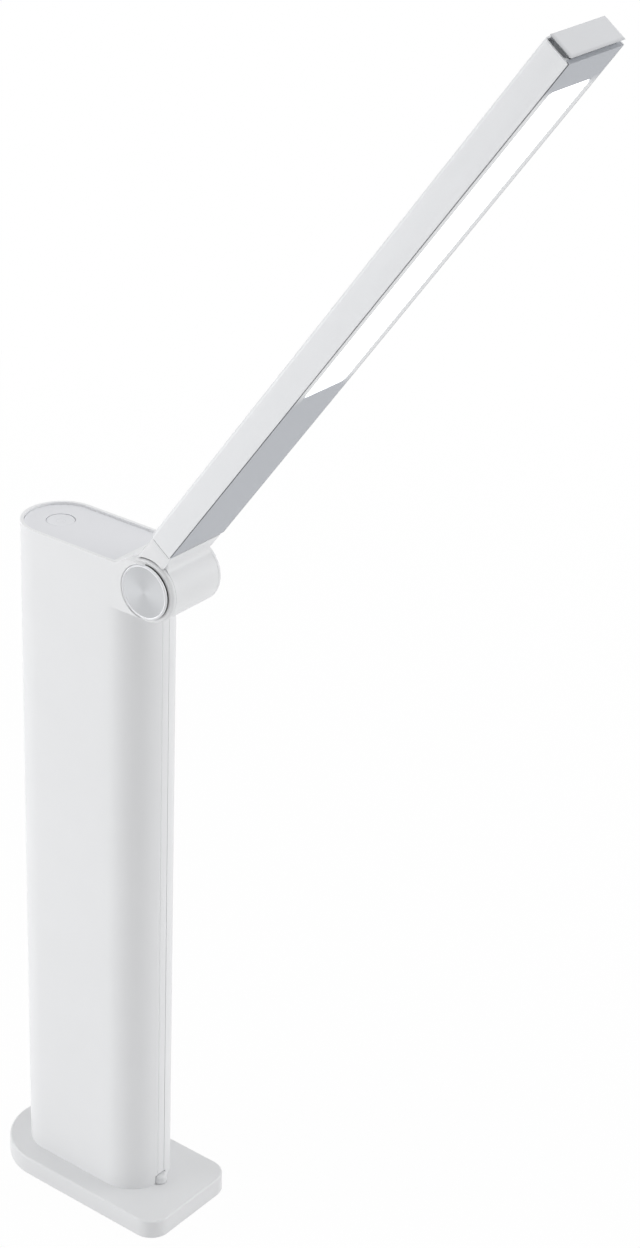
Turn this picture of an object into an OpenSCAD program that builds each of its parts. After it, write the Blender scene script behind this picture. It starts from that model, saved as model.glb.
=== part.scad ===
// Folding desk lamp: a tall column with rounded ends stands on a flat weighted base, and a slim
// light arm folds down in front of it. The arm turns on a barrel hinge across the column's head.
// Origin: middle of the column's section, on the table. +X is the side the arm opens to, +Z is up.

/* [Column] */
// Front to back length of the column's section
column_l = 86; // [80:1:96]
// Width of the column
column_w = 40; // [38:1:44]
// Height of the column's top rim above the table
rim_z = 376; // [340:1:420]
// Thickness of the column's wall
column_wall = 2.4; // [2.2:0.1:2.8]

/* [Base] */
// Height of the base's top face
base_h = 11; // [10.5:0.5:14]
// How far the base stands out beside and behind the column
base_side = 11.4; // [11:0.2:16]
// How far the base runs ahead of the column
base_ahead = 21.9; // [20:0.1:30]
// Radius of the base's two front corners in plan
base_corner = 11; // [9:0.5:14]
// Rounding of the base's top edge
base_edge = 1.2; // [0.6:0.1:2]
// Thickness of the base moulding
base_wall = 2.4; // [2:0.1:2.8]
// Thickness of the cover under the base
cover_t = 2; // [1.8:0.1:2.4]
// Thickness of the steel weight
weight_t = 5.4; // [4.5:0.1:5.8]
// Thickness of the rubber sole
sole_t = 1.2; // [1:0.1:1.4]
// How far the sole stands below the cover
sole_proud = 0.5; // [0.4:0.1:0.8]
// How far the sole stays inside the base's edge
sole_margin = 12; // [11:0.5:16]

/* [Head] */
// How far the hinge axis is ahead of the column
hinge_ahead = 2.7; // [2:0.1:5]
// How far the hinge axis is below the rim
hinge_drop = 10.1; // [9.6:0.1:12]
// Radius of the hinge barrel
barrel_r = 16.2; // [15.6:0.1:17]
// Thickness of each ear, from the knuckle's side to its shoulder
ear_t = 2.5; // [2.2:0.1:3]
// How far the column's flat side stands out past the ear's shoulder
shoulder = 2; // [1.6:0.1:2.4]
// Radius of the hinge caps
cap_r = 13.8; // [12.6:0.1:14]
// Depth of the recess in the top
recess = 1.2; // [0.8:0.1:2]
// Width of the rim around that recess
rim_t = 1.6; // [1.4:0.1:1.8]
// Thickness of the top panel
panel_t = 2.5; // [2:0.1:3]
// Place of the panel's front edge, behind the hinge axis
panel_back = 19.2; // [18.8:0.1:21]
// Direction, seen from the hinge axis, of the lip where the head meets the barrel
lip_angle = 114; // [113.6:0.2:117]

/* [Power key] */
// Radius of the key
key_r = 7; // [6:0.1:8]
// Distance from the column's back to the key's centre
key_back = 19.2; // [18:0.1:22]
// Thickness of the key's disc
key_t = 2.2; // [2:0.1:2.6]
// How far the key sits below the panel
key_sunk = 0.15; // [0.1:0.05:0.6]
// Travel of the key
key_travel = 0.6; // [0.4:0.1:0.8]
// Radius of the key's stem
stem_r = 2.5; // [2:0.1:3]

/* [Arm] */
// Angle of the arm above level, as it stands
arm_angle = 54.1; // [30:0.1:57]
// Width of the arm
arm_w = 39.6; // [38.6:0.1:40]
// Thickness of the arm
arm_t = 14; // [13.4:0.1:14.6]
// Height of the arm's lit face above the hinge axis
face_e = 0.5; // [0.3:0.1:0.9]
// Distance from the hinge axis to the near end of the metal channel
root_reach = 26.5; // [25:0.5:30]
// Space between the folded arm's tip and the base
fold_gap = 1.1; // [0.9:0.1:4]
// Wall of the metal channel
channel_wall = 1; // [0.9:0.1:1.3]
// Rounding of the channel's two outer edges
channel_edge = 2; // [1:0.1:2.6]
// How far the root's cheeks are set in from the channel's sides
cheek_in = 2.3; // [2:0.1:2.6]
// Length of the root's tongue inside the channel
tongue_l = 36; // [30:1:50]
// Thickness of the tip cap
tip_t = 1.8; // [1.4:0.1:2.4]
// Length of the lit window
window_l = 190.6; // [180:0.1:200]
// Plate left between the lit window and the tip cap
window_margin = 17; // [15:0.1:20]
// Plate left on either side of the lit window
window_border = 3.3; // [3.2:0.1:5]
// Thickness of the plate around the window
bezel_t = 2; // [1.6:0.1:2.2]
// Distance between neighbouring light emitters
led_pitch = 10; // [8:0.5:14]

/* [Driver] */
// Height of the driver board in the foot of the column
driver_h = 86; // [80:1:92]
// Largest distance that a part on the board stands out from it
driver_depth = 12; // [10:0.5:14]

/* [Fits] */
// Running clearance of pins and stems in their bores
run_gap = 0.05; // [0.03:0.01:0.08]
// Clearance of a pressed or screwed part in its hole
seat_gap = 0.02; // [0.01:0.01:0.04]
// Gap between moulded pieces that are fitted together
fit_gap = 0.15; // [0.1:0.01:0.25]
// Gap between pieces that move past each other
move_gap = 0.5; // [0.4:0.05:0.6]

/* [Hidden] */

$fn = 96;
screw_fn = 32;
cut = 1;

white = [0.92, 0.93, 0.94];
satin_grey = [0.82, 0.83, 0.85];
panel_white = [0.87, 0.88, 0.90];
steel = [0.62, 0.63, 0.65];
black_rubber = [0.12, 0.12, 0.13];
board_green = [0.10, 0.36, 0.22];

// Column and base in plan
column_r = column_w / 2;
round_x = (column_l - column_w) / 2;
inner_r = column_r - column_wall;
base_r = column_r + base_side;
base_front = column_l / 2 + base_ahead;
base_back = -round_x - base_r;
base_mid = (base_front + base_back) / 2;

// Levels in the base
cover_z = sole_proud;
cover_top = cover_z + cover_t;
cover_gap = fit_gap;
plate_z = base_h - base_wall;
spigot_h = 8;
spigot_t = 2.4;
spigot_top = base_h + spigot_h;

// Screws that hold the column down
column_screw_r = 1.75;
column_screw_l = 24;
column_screw_x = round_x + 4;
column_boss_r = 3.9;
column_boss_in = 0.8;
column_screw_y = sqrt(pow(inner_r + column_boss_in - column_boss_r, 2) - pow(column_screw_x - round_x, 2));
column_boss_h = 26;
screw_head_r = 3.2;
screw_head_h = 2;
pillar_r = 4.6;
pillar_bore_r = 3.6;
column_head_z = cover_top + 3.4;

// Screws that hold the cover on
cover_screw_r = 1.3;
cover_screw_l = 5.5;
cover_head_r = 2.3;
cover_head_h = 1.2;
cover_boss_r = 3;
cover_screw_in = 7;
cover_seat_z = cover_z + cover_head_h;

// Hinge
hinge_x = column_l / 2 + hinge_ahead;
hinge_z = rim_z - hinge_drop;
ear_out = column_r - shoulder;
ear_in = ear_out - ear_t;
ear_edge = 2;
ear_web = 1.5;
pocket_floor = ear_in + ear_web;
pocket_r = barrel_r + move_gap;
pocket_wall = 2;
cap_gap = 0.1;
cap_pocket_r = cap_r + cap_gap;
cap_neck_r = cap_r - 0.9;
cap_groove = 0.7;
shelf_z = hinge_z - cap_r;
knuckle_half = ear_in - 0.15;
pin_r = 4;
pin_flange_r = 6;
pin_flange_t = 0.6;
cap_bevel = 0.6;
cap_dish = 0.35;
cap_face_t = 0.7;
cap_rim_t = 1.4;
pin_in = 7.5;
bush_bore_r = 2.4;

// Top of the column
panel_top = rim_z - recess;
ledge_z = panel_top - panel_t;
panel_x = hinge_x - panel_back;
panel_corner = 2;
ledge_w = 2;
lip_x = hinge_x + pocket_r * cos(lip_angle);
lip_z = hinge_z + pocket_r * sin(lip_angle);
side_top = hinge_z + cap_pocket_r;
saddle_steps = 14;

// Power key and its switch
key_x = -column_l / 2 + key_back;
key_top = panel_top - key_sunk;
key_z = key_top - key_t;
key_hole_r = key_r + 0.2;
key_boss_r = key_hole_r + 1.8;
key_floor_z = key_z - key_travel - 0.4;
guide_z = key_floor_z - 4;
clip_t = 0.8;
clip_r = 4.2;
clip_z = guide_z - fit_gap - clip_t;
stem_z = clip_z - 0.6;
plunger_top = stem_z - key_travel - 0.15;
switch_h = 3.5;
plunger_h = 1;
board_t = 1.6;
switch_board_z = plunger_top - plunger_h - switch_h - board_t;
switch_board_from = key_x - 10;
switch_board_l = 27;
switch_board_w = 20;
switch_post_r = 2.4;
switch_screw_r = 1.1;
switch_post_xy = [[key_x - 8, 6.5], [key_x + 13.5, 6.5]];

// Driver board, upright across the column
driver_x = -8;
driver_half = inner_r - 0.3;
driver_face = driver_x + board_t / 2;
socket_w = driver_half / 2;
socket_t = driver_depth * 0.46;
socket_h = driver_h * 0.07;
socket_z = spigot_top + driver_h * 0.84;
socket_top = socket_z + socket_h;
socket_mid_x = driver_face + socket_t / 2;
rail_t = 1.5;
rail_depth = 1.8;

// Power inlet at the back
jack_z = 31;
jack_seat_r = 6.6;
jack_seat_in = 1.4;
jack_face_x = -column_l / 2 + jack_seat_in;
jack_pad = 3.4;
jack_bush_r = 4;
jack_bush_l = 2.4;
jack_body_r = 5.6;
jack_body_l = 10;
jack_socket_r = 2.75;
jack_socket_l = 9;
jack_pin_r = 1;
jack_nut_t = 1.8;
jack_nut_r = 6.2;

// Front strip and the bumper at its foot
strip_w = 4.6;
strip_t = 1.2;
strip_gap = 0.15;
bumper_w = 7.4;
bumper_edge = 1.5;
bumper_top = base_h + 4.8;
bumper_lift = 0.3;
bumper_in = 1.6;
strip_from = bumper_top + 0.8;
strip_to = hinge_z - pocket_r - 1.6;

// Arm, in its own frame: x runs along the arm from the hinge axis, z is away from the lit face
arm_top = face_e + arm_t;
arm_end = hinge_z - base_h - fold_gap;
channel_end = arm_end - tip_t;
channel_half = arm_w / 2 - channel_wall;
window_to = channel_end - window_margin;
window_from = window_to - window_l;
root_top = arm_top - 0.8;
root_fillet = 4;
fillet_t = sqrt(pow(barrel_r + root_fillet, 2) - pow(face_e - root_fillet, 2));
cheek_half = arm_w / 2 - cheek_in;
cheek_r = barrel_r + move_gap;
rib_h = 2.5;
rib_e = arm_top - channel_wall - rib_h;
rib_w = 5;
bezel_back = face_e + bezel_t;
bezel_half = channel_half - 1;
window_w = 2 * (bezel_half - window_border);
led_board_w = window_w - 4;
rib_y = (led_board_w - rib_w) / 2;
ledge_half = channel_half - 2.2;
ledge_t = 1.2;
bumper_x = hinge_x + face_e - 0.3;
tongue_half = ledge_half - 0.3;
tongue_e = bezel_back + ledge_t + 0.2;
lead_way = 5;
lead_floor = 3.2;
lead_roof = 9;
root_cavity_r = 6;
washer_bore_r = 10;
washer_bore_t = 1.2;
window_corner = 2;
diffuser_gap = 0.4;
diffuser_in = 0.1;
diffuser_lip = 1.5;
diffuser_lip_t = 1;
led_margin = 1.6;
led_board_e = rib_e - board_t;
led_row_y = led_board_w / 5;
led_l = 3.5;
led_w = 2.8;
led_t = 0.8;
led_count = floor((window_l - 4 * led_margin) / led_pitch);
led_screw_at = [window_from + 6, window_from + window_l / 2, window_to - 6];
led_screw_r = 1;
led_screw_head_r = 1.9;
led_screw_head_h = 1.1;
arm_screw_r = 1.5;
arm_screw_head_r = 2.7;
arm_screw_head_h = 1.8;
arm_screw_t = root_reach + tongue_l - 14;
tip_gap = 0.4;
seam_w = 0.6;
seam_in = 1;
tip_bevel = 1;
tip_bevel_in = 2;

// Leads: points chosen along the route, thickness of the lead
lead_r = 0.6;
lead_sides = 10;
lead_slot_h = 2.4;
lead_slot_y = ear_out + 0.1;
lead_meet_y = 9;

// ---- shapes that repeat ----

module obround(l, w) {
    square([l - w, w], center = true);
    for (s = [-1, 1]) translate([s * (l - w) / 2, 0]) circle(d = w);
}

// The base in plan, drawn smaller by inset
module base_outline(inset) {
    r = base_r - inset;
    c = base_corner - inset;
    front = base_front - inset;
    translate([-round_x, 0]) circle(r = r);
    translate([-round_x, -r]) square([front - c + round_x, 2 * r]);
    translate([-round_x, -r + c]) square([front + round_x, 2 * (r - c)]);
    for (s = [-1, 1]) translate([front - c, s * (r - c)]) circle(r = c);
}

// Copies on both sides of the middle plane
module both_sides() {
    for (s = [0, 1]) mirror([0, s, 0]) children();
}

// A round bar along Y, from y0 to y1, at the hinge axis
module hinge_bar(r, y0, y1) {
    translate([hinge_x, y0, hinge_z]) rotate([-90, 0, 0]) cylinder(r = r, h = y1 - y0);
}

// Takes children drawn in the arm's own frame to where the arm stands
module on_arm() {
    translate([hinge_x, 0, hinge_z]) rotate([0, -arm_angle, 0]) children();
}

// A bar along the arm whose section is a 2D child in y and z
module along_arm(from, to) {
    translate([from, 0, 0]) rotate([90, 0, 90]) linear_extrude(to - from) children();
}

// A pan head screw, head down at z = 0, shaft up
module screw(r, l, head_r, head_h) {
    difference() {
        union() {
            translate([0, 0, -head_h]) cylinder(r = head_r, h = head_h, $fn = screw_fn);
            cylinder(r = r, h = l, $fn = screw_fn);
        }
        translate([0, 0, -head_h]) cube([head_r * 1.3, head_r * 0.3, head_h * 0.9], center = true);
        translate([0, 0, -head_h]) cube([head_r * 0.3, head_r * 1.3, head_h * 0.9], center = true);
    }
}

module cover_screw_places() {
    back = (base_r - cover_screw_in + 0.5) / sqrt(2);
    both_sides() {
        translate([base_front - cover_screw_in, base_r - cover_screw_in, 0]) children();
        translate([-round_x - back, back, 0]) children();
    }
}

module column_screw_places() {
    both_sides() for (s = [-1, 1])
        translate([s * column_screw_x, column_screw_y, 0]) children();
}

// ---- leads ----

function unit(v) = v / norm(v);
function through(a, b, c, d, u) =
    0.5 * (2 * b + (c - a) * u + (2 * a - 5 * b + 4 * c - d) * u * u
        + (3 * b - a - 3 * c + d) * u * u * u);
function pick(p, i) = p[max(0, min(len(p) - 1, i))];
function curve(p, n) = [for (i = [0:len(p) - 2]) for (k = [0:n - 1])
        through(pick(p, i - 1), p[i], p[i + 1], pick(p, i + 2), k / n), p[len(p) - 1]];
function tangents(c) = [for (i = [0:len(c) - 1]) unit(pick(c, i + 1) - pick(c, i - 1))];
function normals(t, n, i = 0) = i == len(t) ? [] :
    let (m = unit(n - (n * t[i]) * t[i])) concat([m], normals(t, m, i + 1));

// A round lead that follows the points p, first turned from the direction side
module lead(p, side, n = 4) {
    c = curve(p, n);
    t = tangents(c);
    m = normals(t, side);
    k = lead_sides;
    rings = [for (i = [0:len(c) - 1]) for (a = [0:k - 1])
        c[i] + lead_r * (cos(360 * a / k) * m[i] + sin(360 * a / k) * cross(t[i], m[i]))];
    skin = [for (i = [0:len(c) - 2]) for (a = [0:k - 1])
        [i * k + a, (i + 1) * k + a, (i + 1) * k + (a + 1) % k, i * k + (a + 1) % k]];
    first = [for (a = [0:k - 1]) a];
    last = [for (a = [k - 1:-1:0]) (len(c) - 1) * k + a];
    polyhedron(points = rings, faces = concat(skin, [first], [last]));
}

// ---- base ----

// Base moulding: a thin plate with a turned-down wall, and a spigot that the column drops over
module base_shell() {
    color(white) difference() {
        union() {
            difference() {
                hull() for (a = [0:18:90])
                    translate([0, 0, cover_z])
                        linear_extrude(base_h - cover_z - base_edge * (1 - sin(a)))
                            base_outline(base_edge * (1 - cos(a)), $fn = 64);
                translate([0, 0, cover_z - cut])
                    linear_extrude(plate_z - cover_z + cut) base_outline(base_wall);
            }
            translate([0, 0, plate_z]) linear_extrude(spigot_top - plate_z) difference() {
                obround(2 * round_x + 2 * (inner_r - fit_gap), 2 * (inner_r - fit_gap));
                obround(2 * round_x + 2 * (inner_r - spigot_t), 2 * (inner_r - spigot_t));
            }
            intersection() {
                column_screw_places() translate([0, 0, cover_top + 1])
                    cylinder(r = pillar_r, h = spigot_top - cover_top - 1);
                union() {
                    linear_extrude(base_h) base_outline(base_wall / 2);
                    linear_extrude(spigot_top)
                        obround(2 * round_x + 2 * (inner_r - fit_gap), 2 * (inner_r - fit_gap));
                }
            }
            cover_screw_places() translate([0, 0, cover_top])
                cylinder(r = cover_boss_r, h = base_h - base_edge - cover_top);
        }
        column_screw_places() {
            translate([0, 0, cover_top])
                cylinder(r = pillar_bore_r, h = column_head_z + screw_head_h - cover_top);
            cylinder(r = column_screw_r + fit_gap, h = spigot_top + cut);
        }
        cover_screw_places() translate([0, 0, cover_top - cut])
            cylinder(r = cover_screw_r + seat_gap, h = cover_screw_l + cut);
    }
}

// Steel plate that keeps the lamp standing
module base_weight() {
    color(steel) translate([0, 0, cover_top]) linear_extrude(weight_t) difference() {
        base_outline(base_wall + 0.6);
        column_screw_places() circle(r = pillar_r + 0.4);
        cover_screw_places() circle(r = cover_boss_r + 0.4);
    }
}

// Bottom cover, let into the base moulding
module base_cover() {
    color(satin_grey) difference() {
        translate([0, 0, cover_z]) linear_extrude(cover_t) base_outline(base_wall + cover_gap);
        translate([0, 0, cover_z - cut]) linear_extrude(sole_t - sole_proud + cut)
            sole_outline(fit_gap);
        cover_screw_places() {
            translate([0, 0, cover_z - cut]) cylinder(r = cover_head_r + fit_gap, h = cover_head_h + cut);
            cylinder(r = cover_screw_r + fit_gap, h = cover_top + cut);
        }
    }
}

module sole_outline(grow) {
    translate([base_mid, 0]) obround(base_front - base_back - 2 * sole_margin + 2 * grow,
        2 * (base_r - sole_margin + grow));
}

// Rubber sheet that the lamp stands on
module rubber_sole() {
    color(black_rubber) linear_extrude(sole_t) sole_outline(0);
}

module cover_screws() {
    color(steel) cover_screw_places() translate([0, 0, cover_seat_z])
        screw(cover_screw_r, cover_screw_l, cover_head_r, cover_head_h - 0.1);
}

module column_screws() {
    color(steel) column_screw_places() translate([0, 0, column_head_z + screw_head_h])
        screw(column_screw_r, column_screw_l, screw_head_r, screw_head_h);
}

// ---- column ----

// Side view of the head's rising top edge, from the panel to x1, never above z1
function saddle(x1, z1) = [for (i = [0:saddle_steps])
    let (u = i / saddle_steps)
    [panel_x + (x1 - panel_x) * u, min(z1, rim_z + (lip_z - rim_z) * (1 - cos(180 * u)) / 2)]];

// The flat plates beside the knuckle, which carry the ears
module head_sides() {
    top_line = concat([[round_x, shelf_z], [hinge_x, shelf_z], [hinge_x, side_top]],
        [for (i = [saddle_steps:-1:0]) saddle(lip_x, side_top)[i]], [[round_x, rim_z]]);
    both_sides() translate([0, column_r, 0]) rotate([90, 0, 0])
        linear_extrude(column_r - ear_in) polygon(top_line);
}

// One ear: a round plate with a rounded shoulder
module ear() {
    translate([hinge_x, 0, hinge_z]) rotate([-90, 0, 0]) rotate_extrude() {
        translate([0, ear_in]) square([barrel_r - ear_edge, ear_t]);
        translate([0, ear_in]) square([barrel_r, ear_t - ear_edge]);
        translate([barrel_r - ear_edge, ear_out - ear_edge]) intersection() {
            circle(r = ear_edge);
            square(ear_edge);
        }
    }
}

// What the knuckle and the arm turn in, and the wall around it
module pocket(r) {
    hinge_bar(r, -ear_in, ear_in);
}

// Outline of the recess in the top, drawn smaller by inset
module panel_outline(inset) {
    l = column_l - 2 * (rim_t + inset);
    intersection() {
        obround(l, column_w - 2 * (rim_t + inset));
        translate([-column_l, -column_w]) square([column_l + panel_x - inset, 2 * column_w]);
    }
}

module column_shell() {
    inner_l = 2 * (round_x + inner_r);
    color(white) difference() {
        union() {
            difference() {
                translate([0, 0, base_h]) linear_extrude(rim_z - base_h)
                    obround(column_l, column_w);
                translate([0, 0, base_h - cut]) linear_extrude(ledge_z - base_h + cut)
                    obround(inner_l, 2 * inner_r);
            }
            intersection() {
                pocket(pocket_r + pocket_wall);
                translate([0, 0, base_h]) linear_extrude(rim_z - base_h) obround(column_l, column_w);
            }
            head_sides();
            both_sides() ear();
            saddle_block();
            column_screw_places() translate([0, 0, spigot_top])
                cylinder(r = column_boss_r, h = column_boss_h);
            driver_rails();
            translate([jack_face_x, 0, jack_z]) rotate([0, 90, 0])
                cylinder(r = jack_seat_r + 1, h = jack_pad);
        }
        // open top and the recess for the panel
        translate([0, 0, ledge_z - cut]) linear_extrude(rim_z) intersection() {
            obround(inner_l, 2 * inner_r);
            translate([-column_l, -column_w]) square([column_l + panel_x - ledge_w, 2 * column_w]);
        }
        translate([0, 0, ledge_z]) linear_extrude(rim_z) panel_outline(0);
        // hinge
        pocket(pocket_r);
        both_sides() {
            hinge_bar(pin_r + seat_gap, 0, column_r);
            hinge_bar(cap_neck_r + cap_gap, pocket_floor, column_r);
            hinge_bar(cap_pocket_r, ear_out, column_r + cut);
        }
        // way for the lead from the column into the far ear
        translate([round_x - 6, lead_slot_y - 0.8, hinge_z - lead_slot_h / 2])
            cube([hinge_x - cap_neck_r + 8 - round_x, 1.65, lead_slot_h]);
        // screws from below
        column_screw_places() translate([0, 0, spigot_top - cut])
            cylinder(r = column_screw_r + seat_gap, h = column_boss_h);
        // inlet
        translate([-column_l / 2 - cut, 0, jack_z]) rotate([0, 90, 0]) {
            cylinder(r = jack_seat_r, h = jack_face_x + column_l / 2 + cut);
            cylinder(r = jack_bush_r + seat_gap, h = column_r);
        }
        // front groove and the bumper's pocket
        translate([column_l / 2 - strip_t, -strip_w / 2 - strip_gap, bumper_top])
            cube([strip_t + cut, strip_w + 2 * strip_gap, strip_to + strip_gap - bumper_top]);
        translate([column_l / 2 - bumper_in, -bumper_w / 2 - bumper_lift, base_h - cut])
            cube([bumper_in + cut, bumper_w + 2 * bumper_lift, bumper_top + bumper_lift - base_h + cut]);
    }
}

// The part of the head behind the knuckle
module saddle_block() {
    low = panel_x - ledge_w;
    line = concat([[low, ledge_z], [lip_x, hinge_z]],
        [for (i = [saddle_steps:-1:0]) saddle(lip_x, lip_z)[i]], [[low, rim_z]]);
    translate([0, ear_in + 0.1, 0]) rotate([90, 0, 0])
        linear_extrude(2 * ear_in + 0.2) polygon(line);
}

// Grooves that the driver board slides up into
module driver_rails() {
    slot = board_t / 2 + fit_gap;
    both_sides() for (s = [-1, 1])
        translate([driver_x + (s < 0 ? -slot - rail_t : slot), inner_r - rail_depth, spigot_top])
            cube([rail_t, rail_depth + column_wall / 2, driver_h + 6]);
}

// Strip down the middle of the column's front
module front_strip() {
    color(white) intersection() {
        translate([0, 0, base_h]) linear_extrude(rim_z) obround(column_l, column_w);
        translate([column_l / 2 - strip_t, -strip_w / 2, strip_from])
            cube([strip_t + cut, strip_w, strip_to - strip_from]);
    }
}

// Soft stop at the foot of the strip, which the folded arm rests on
module rest_bumper() {
    back = column_l / 2 - bumper_in;
    nose = bumper_w / 2;
    low = base_h + bumper_lift;
    color(white) translate([bumper_x - nose, 0, low]) {
        rotate([0, 0, -90]) rotate_extrude(angle = 180) {
            square([nose, bumper_top - low - bumper_edge]);
            square([nose - bumper_edge, bumper_top - low]);
            translate([nose - bumper_edge, bumper_top - low - bumper_edge]) intersection() {
                circle(r = bumper_edge, $fn = 48);
                square(bumper_edge);
            }
        }
        translate([back - bumper_x + nose, -nose + bumper_edge, 0])
            cube([bumper_x - nose - back, bumper_w - 2 * bumper_edge, bumper_top - low]);
    }
}

// ---- top panel, key and switch ----

module top_panel() {
    color(panel_white) difference() {
        union() {
            translate([0, 0, ledge_z]) linear_extrude(panel_t) panel_outline(fit_gap);
            translate([key_x, 0, guide_z]) cylinder(r = key_boss_r, h = panel_top - guide_z - cut);
            both_sides() for (p = switch_post_xy)
                translate([p[0], p[1], switch_board_z + board_t])
                    cylinder(r = switch_post_r, h = ledge_z - switch_board_z - board_t + cut);
            both_sides() for (x = [-0.4, 0.1] * round_x)
                translate([x, inner_r - fit_gap - 1.6, ledge_z - 6]) cube([8, 1.6, 6 + cut]);
        }
        translate([key_x, 0, key_floor_z]) cylinder(r = key_hole_r, h = column_r);
        translate([key_x, 0, guide_z - cut]) cylinder(r = stem_r + run_gap, h = column_r);
        both_sides() for (p = switch_post_xy)
            translate([p[0], p[1], switch_board_z]) cylinder(r = switch_screw_r + seat_gap, h = 8);
    }
}

// Round key with a shallow dish and a stem
module power_key() {
    dish = 0.5;
    dish_r = (pow(key_r - 0.8, 2) + pow(dish, 2)) / (2 * dish);
    color(panel_white) translate([key_x, 0, 0]) difference() {
        union() {
            translate([0, 0, key_z]) rotate_extrude() {
                square([key_r - 0.4, key_t]);
                square([key_r, key_t - 0.4]);
                translate([key_r - 0.4, key_t - 0.4]) intersection() {
                    circle(r = 0.4, $fn = 24);
                    square(0.4);
                }
            }
            translate([0, 0, stem_z]) cylinder(r = stem_r, h = key_z - stem_z + 0.5);
        }
        translate([0, 0, key_top + dish_r - dish]) sphere(r = dish_r, $fn = 200);
        translate([0, 0, clip_z - seat_gap]) difference() {
            cylinder(r = stem_r + cut, h = clip_t + 2 * seat_gap);
            cylinder(r = stem_r - 0.6, h = clip_t + 2 * seat_gap);
        }
    }
}

// Split ring that keeps the key in its guide
module key_clip() {
    color(steel) translate([key_x, 0, clip_z]) linear_extrude(clip_t) difference() {
        circle(r = clip_r, $fn = 48);
        circle(r = stem_r - 0.6 + seat_gap, $fn = 48);
        translate([0, -0.8]) square([clip_r + cut, 1.6]);
    }
}

module switch_board() {
    color(board_green) difference() {
        translate([switch_board_from, -switch_board_w / 2, switch_board_z])
            cube([switch_board_l, switch_board_w, board_t]);
        both_sides() for (p = switch_post_xy)
            translate([p[0], p[1], switch_board_z - cut])
                cylinder(r = switch_screw_r + fit_gap, h = board_t + 2 * cut, $fn = screw_fn);
    }
}

module tact_switch() {
    color(black_rubber) translate([key_x, 0, switch_board_z + board_t]) {
        translate([-3, -3, 0]) cube([6, 6, switch_h]);
        translate([0, 0, switch_h]) cylinder(r = 1.75, h = plunger_h, $fn = screw_fn);
    }
}

module switch_screws() {
    color(steel) both_sides() for (p = switch_post_xy)
        translate([p[0], p[1], switch_board_z]) screw(switch_screw_r, 6, 2, 1.2);
}

// ---- electronics in the column ----

module driver_board() {
    color(board_green) translate([driver_x - board_t / 2, -driver_half, spigot_top])
        cube([board_t, 2 * driver_half, driver_h]);
}

// A round part that stands out from the driver board, placed by shares of the board's size
module driver_round(across, up, r, out) {
    translate([driver_face, across * driver_half, spigot_top + up * driver_h])
        rotate([0, 90, 0]) cylinder(r = r * driver_half, h = out * driver_depth, $fn = 48);
}

// A block on the driver board: its low corner, then its width, height and depth, in shares
module driver_block(across, up, w, h, out) {
    translate([driver_face, across * driver_half, spigot_top + up * driver_h])
        cube([out * driver_depth, w * driver_half, h * driver_h]);
}

// The larger parts soldered on the driver board
module driver_parts() {
    color([0.2, 0.2, 0.22]) {
        driver_round(-0.12, 0.28, 0.4, 0.54);
        driver_block(0.35, 0.53, 0.35, 0.1, 0.2);
        driver_block(-0.64, 0.12, 0.5, 0.07, 0.42);
        for (side = [-0.78, 0.28])
            translate([driver_face, side * driver_half, socket_z]) cube([socket_t, socket_w, socket_h]);
    }
    color([0.15, 0.2, 0.45]) {
        driver_round(-0.46, 0.53, 0.23, 0.92);
        driver_round(0.52, 0.23, 0.28, 1);
    }
}

// Round power socket with a centre pin, screwed into the back of the column
module power_jack() {
    tip = jack_face_x - jack_bush_l;
    shoulder_x = jack_face_x + jack_pad;
    color(black_rubber) translate([0, 0, jack_z]) {
        difference() {
            union() {
                translate([tip, 0, 0]) rotate([0, 90, 0])
                    cylinder(r = jack_bush_r, h = shoulder_x - tip + cut);
                translate([shoulder_x, 0, 0]) rotate([0, 90, 0])
                    cylinder(r = jack_body_r, h = jack_body_l);
                translate([shoulder_x + jack_body_l - cut, -3, -0.5]) cube([5, 6, 1]);
            }
            translate([tip - cut, 0, 0]) rotate([0, 90, 0])
                cylinder(r = jack_socket_r, h = jack_socket_l + cut, $fn = 48);
        }
        translate([tip + 0.6, 0, 0]) rotate([0, 90, 0])
            cylinder(r = jack_pin_r, h = jack_socket_l, $fn = screw_fn);
    }
}

module jack_nut() {
    color(steel) translate([jack_face_x - jack_nut_t, 0, jack_z]) rotate([0, 90, 0]) difference() {
        cylinder(r = jack_nut_r, h = jack_nut_t, $fn = 6);
        translate([0, 0, -cut]) cylinder(r = jack_bush_r + seat_gap, h = jack_nut_t + 2 * cut);
    }
}

module jack_lead() {
    from = jack_face_x + jack_pad + jack_body_l + 2;
    face = driver_x - board_t / 2;
    low = jack_z + 0.5;
    color(black_rubber) lead([[from, 0, low], [from, 0, low + 2], [from, 0, low + 5],
        [from + 5, -2, low + 12], [face - 7, -4, low + 15], [face - 3, -4, low + 15],
        [face, -4, low + 15]], [0, 1, 0]);
}

module switch_lead() {
    x = socket_mid_x;
    y = -0.53 * driver_half;
    top = switch_board_z;
    low = socket_top;
    far = switch_board_from + switch_board_l - 3;
    color(black_rubber) lead([[x, y, low], [x, y, low + 4], [x, y, low + 12],
        [x - 1, y - 2, low + 0.2 * (top - low)], [x - 1, y - 2, (low + top) / 2], [x - 1, y - 1, top - 40],
        [far, -2, top - 12], [far, -2, top - 6], [far, -2, top - 3], [far, -2, top]], [1, 0, 0]);
}

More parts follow.
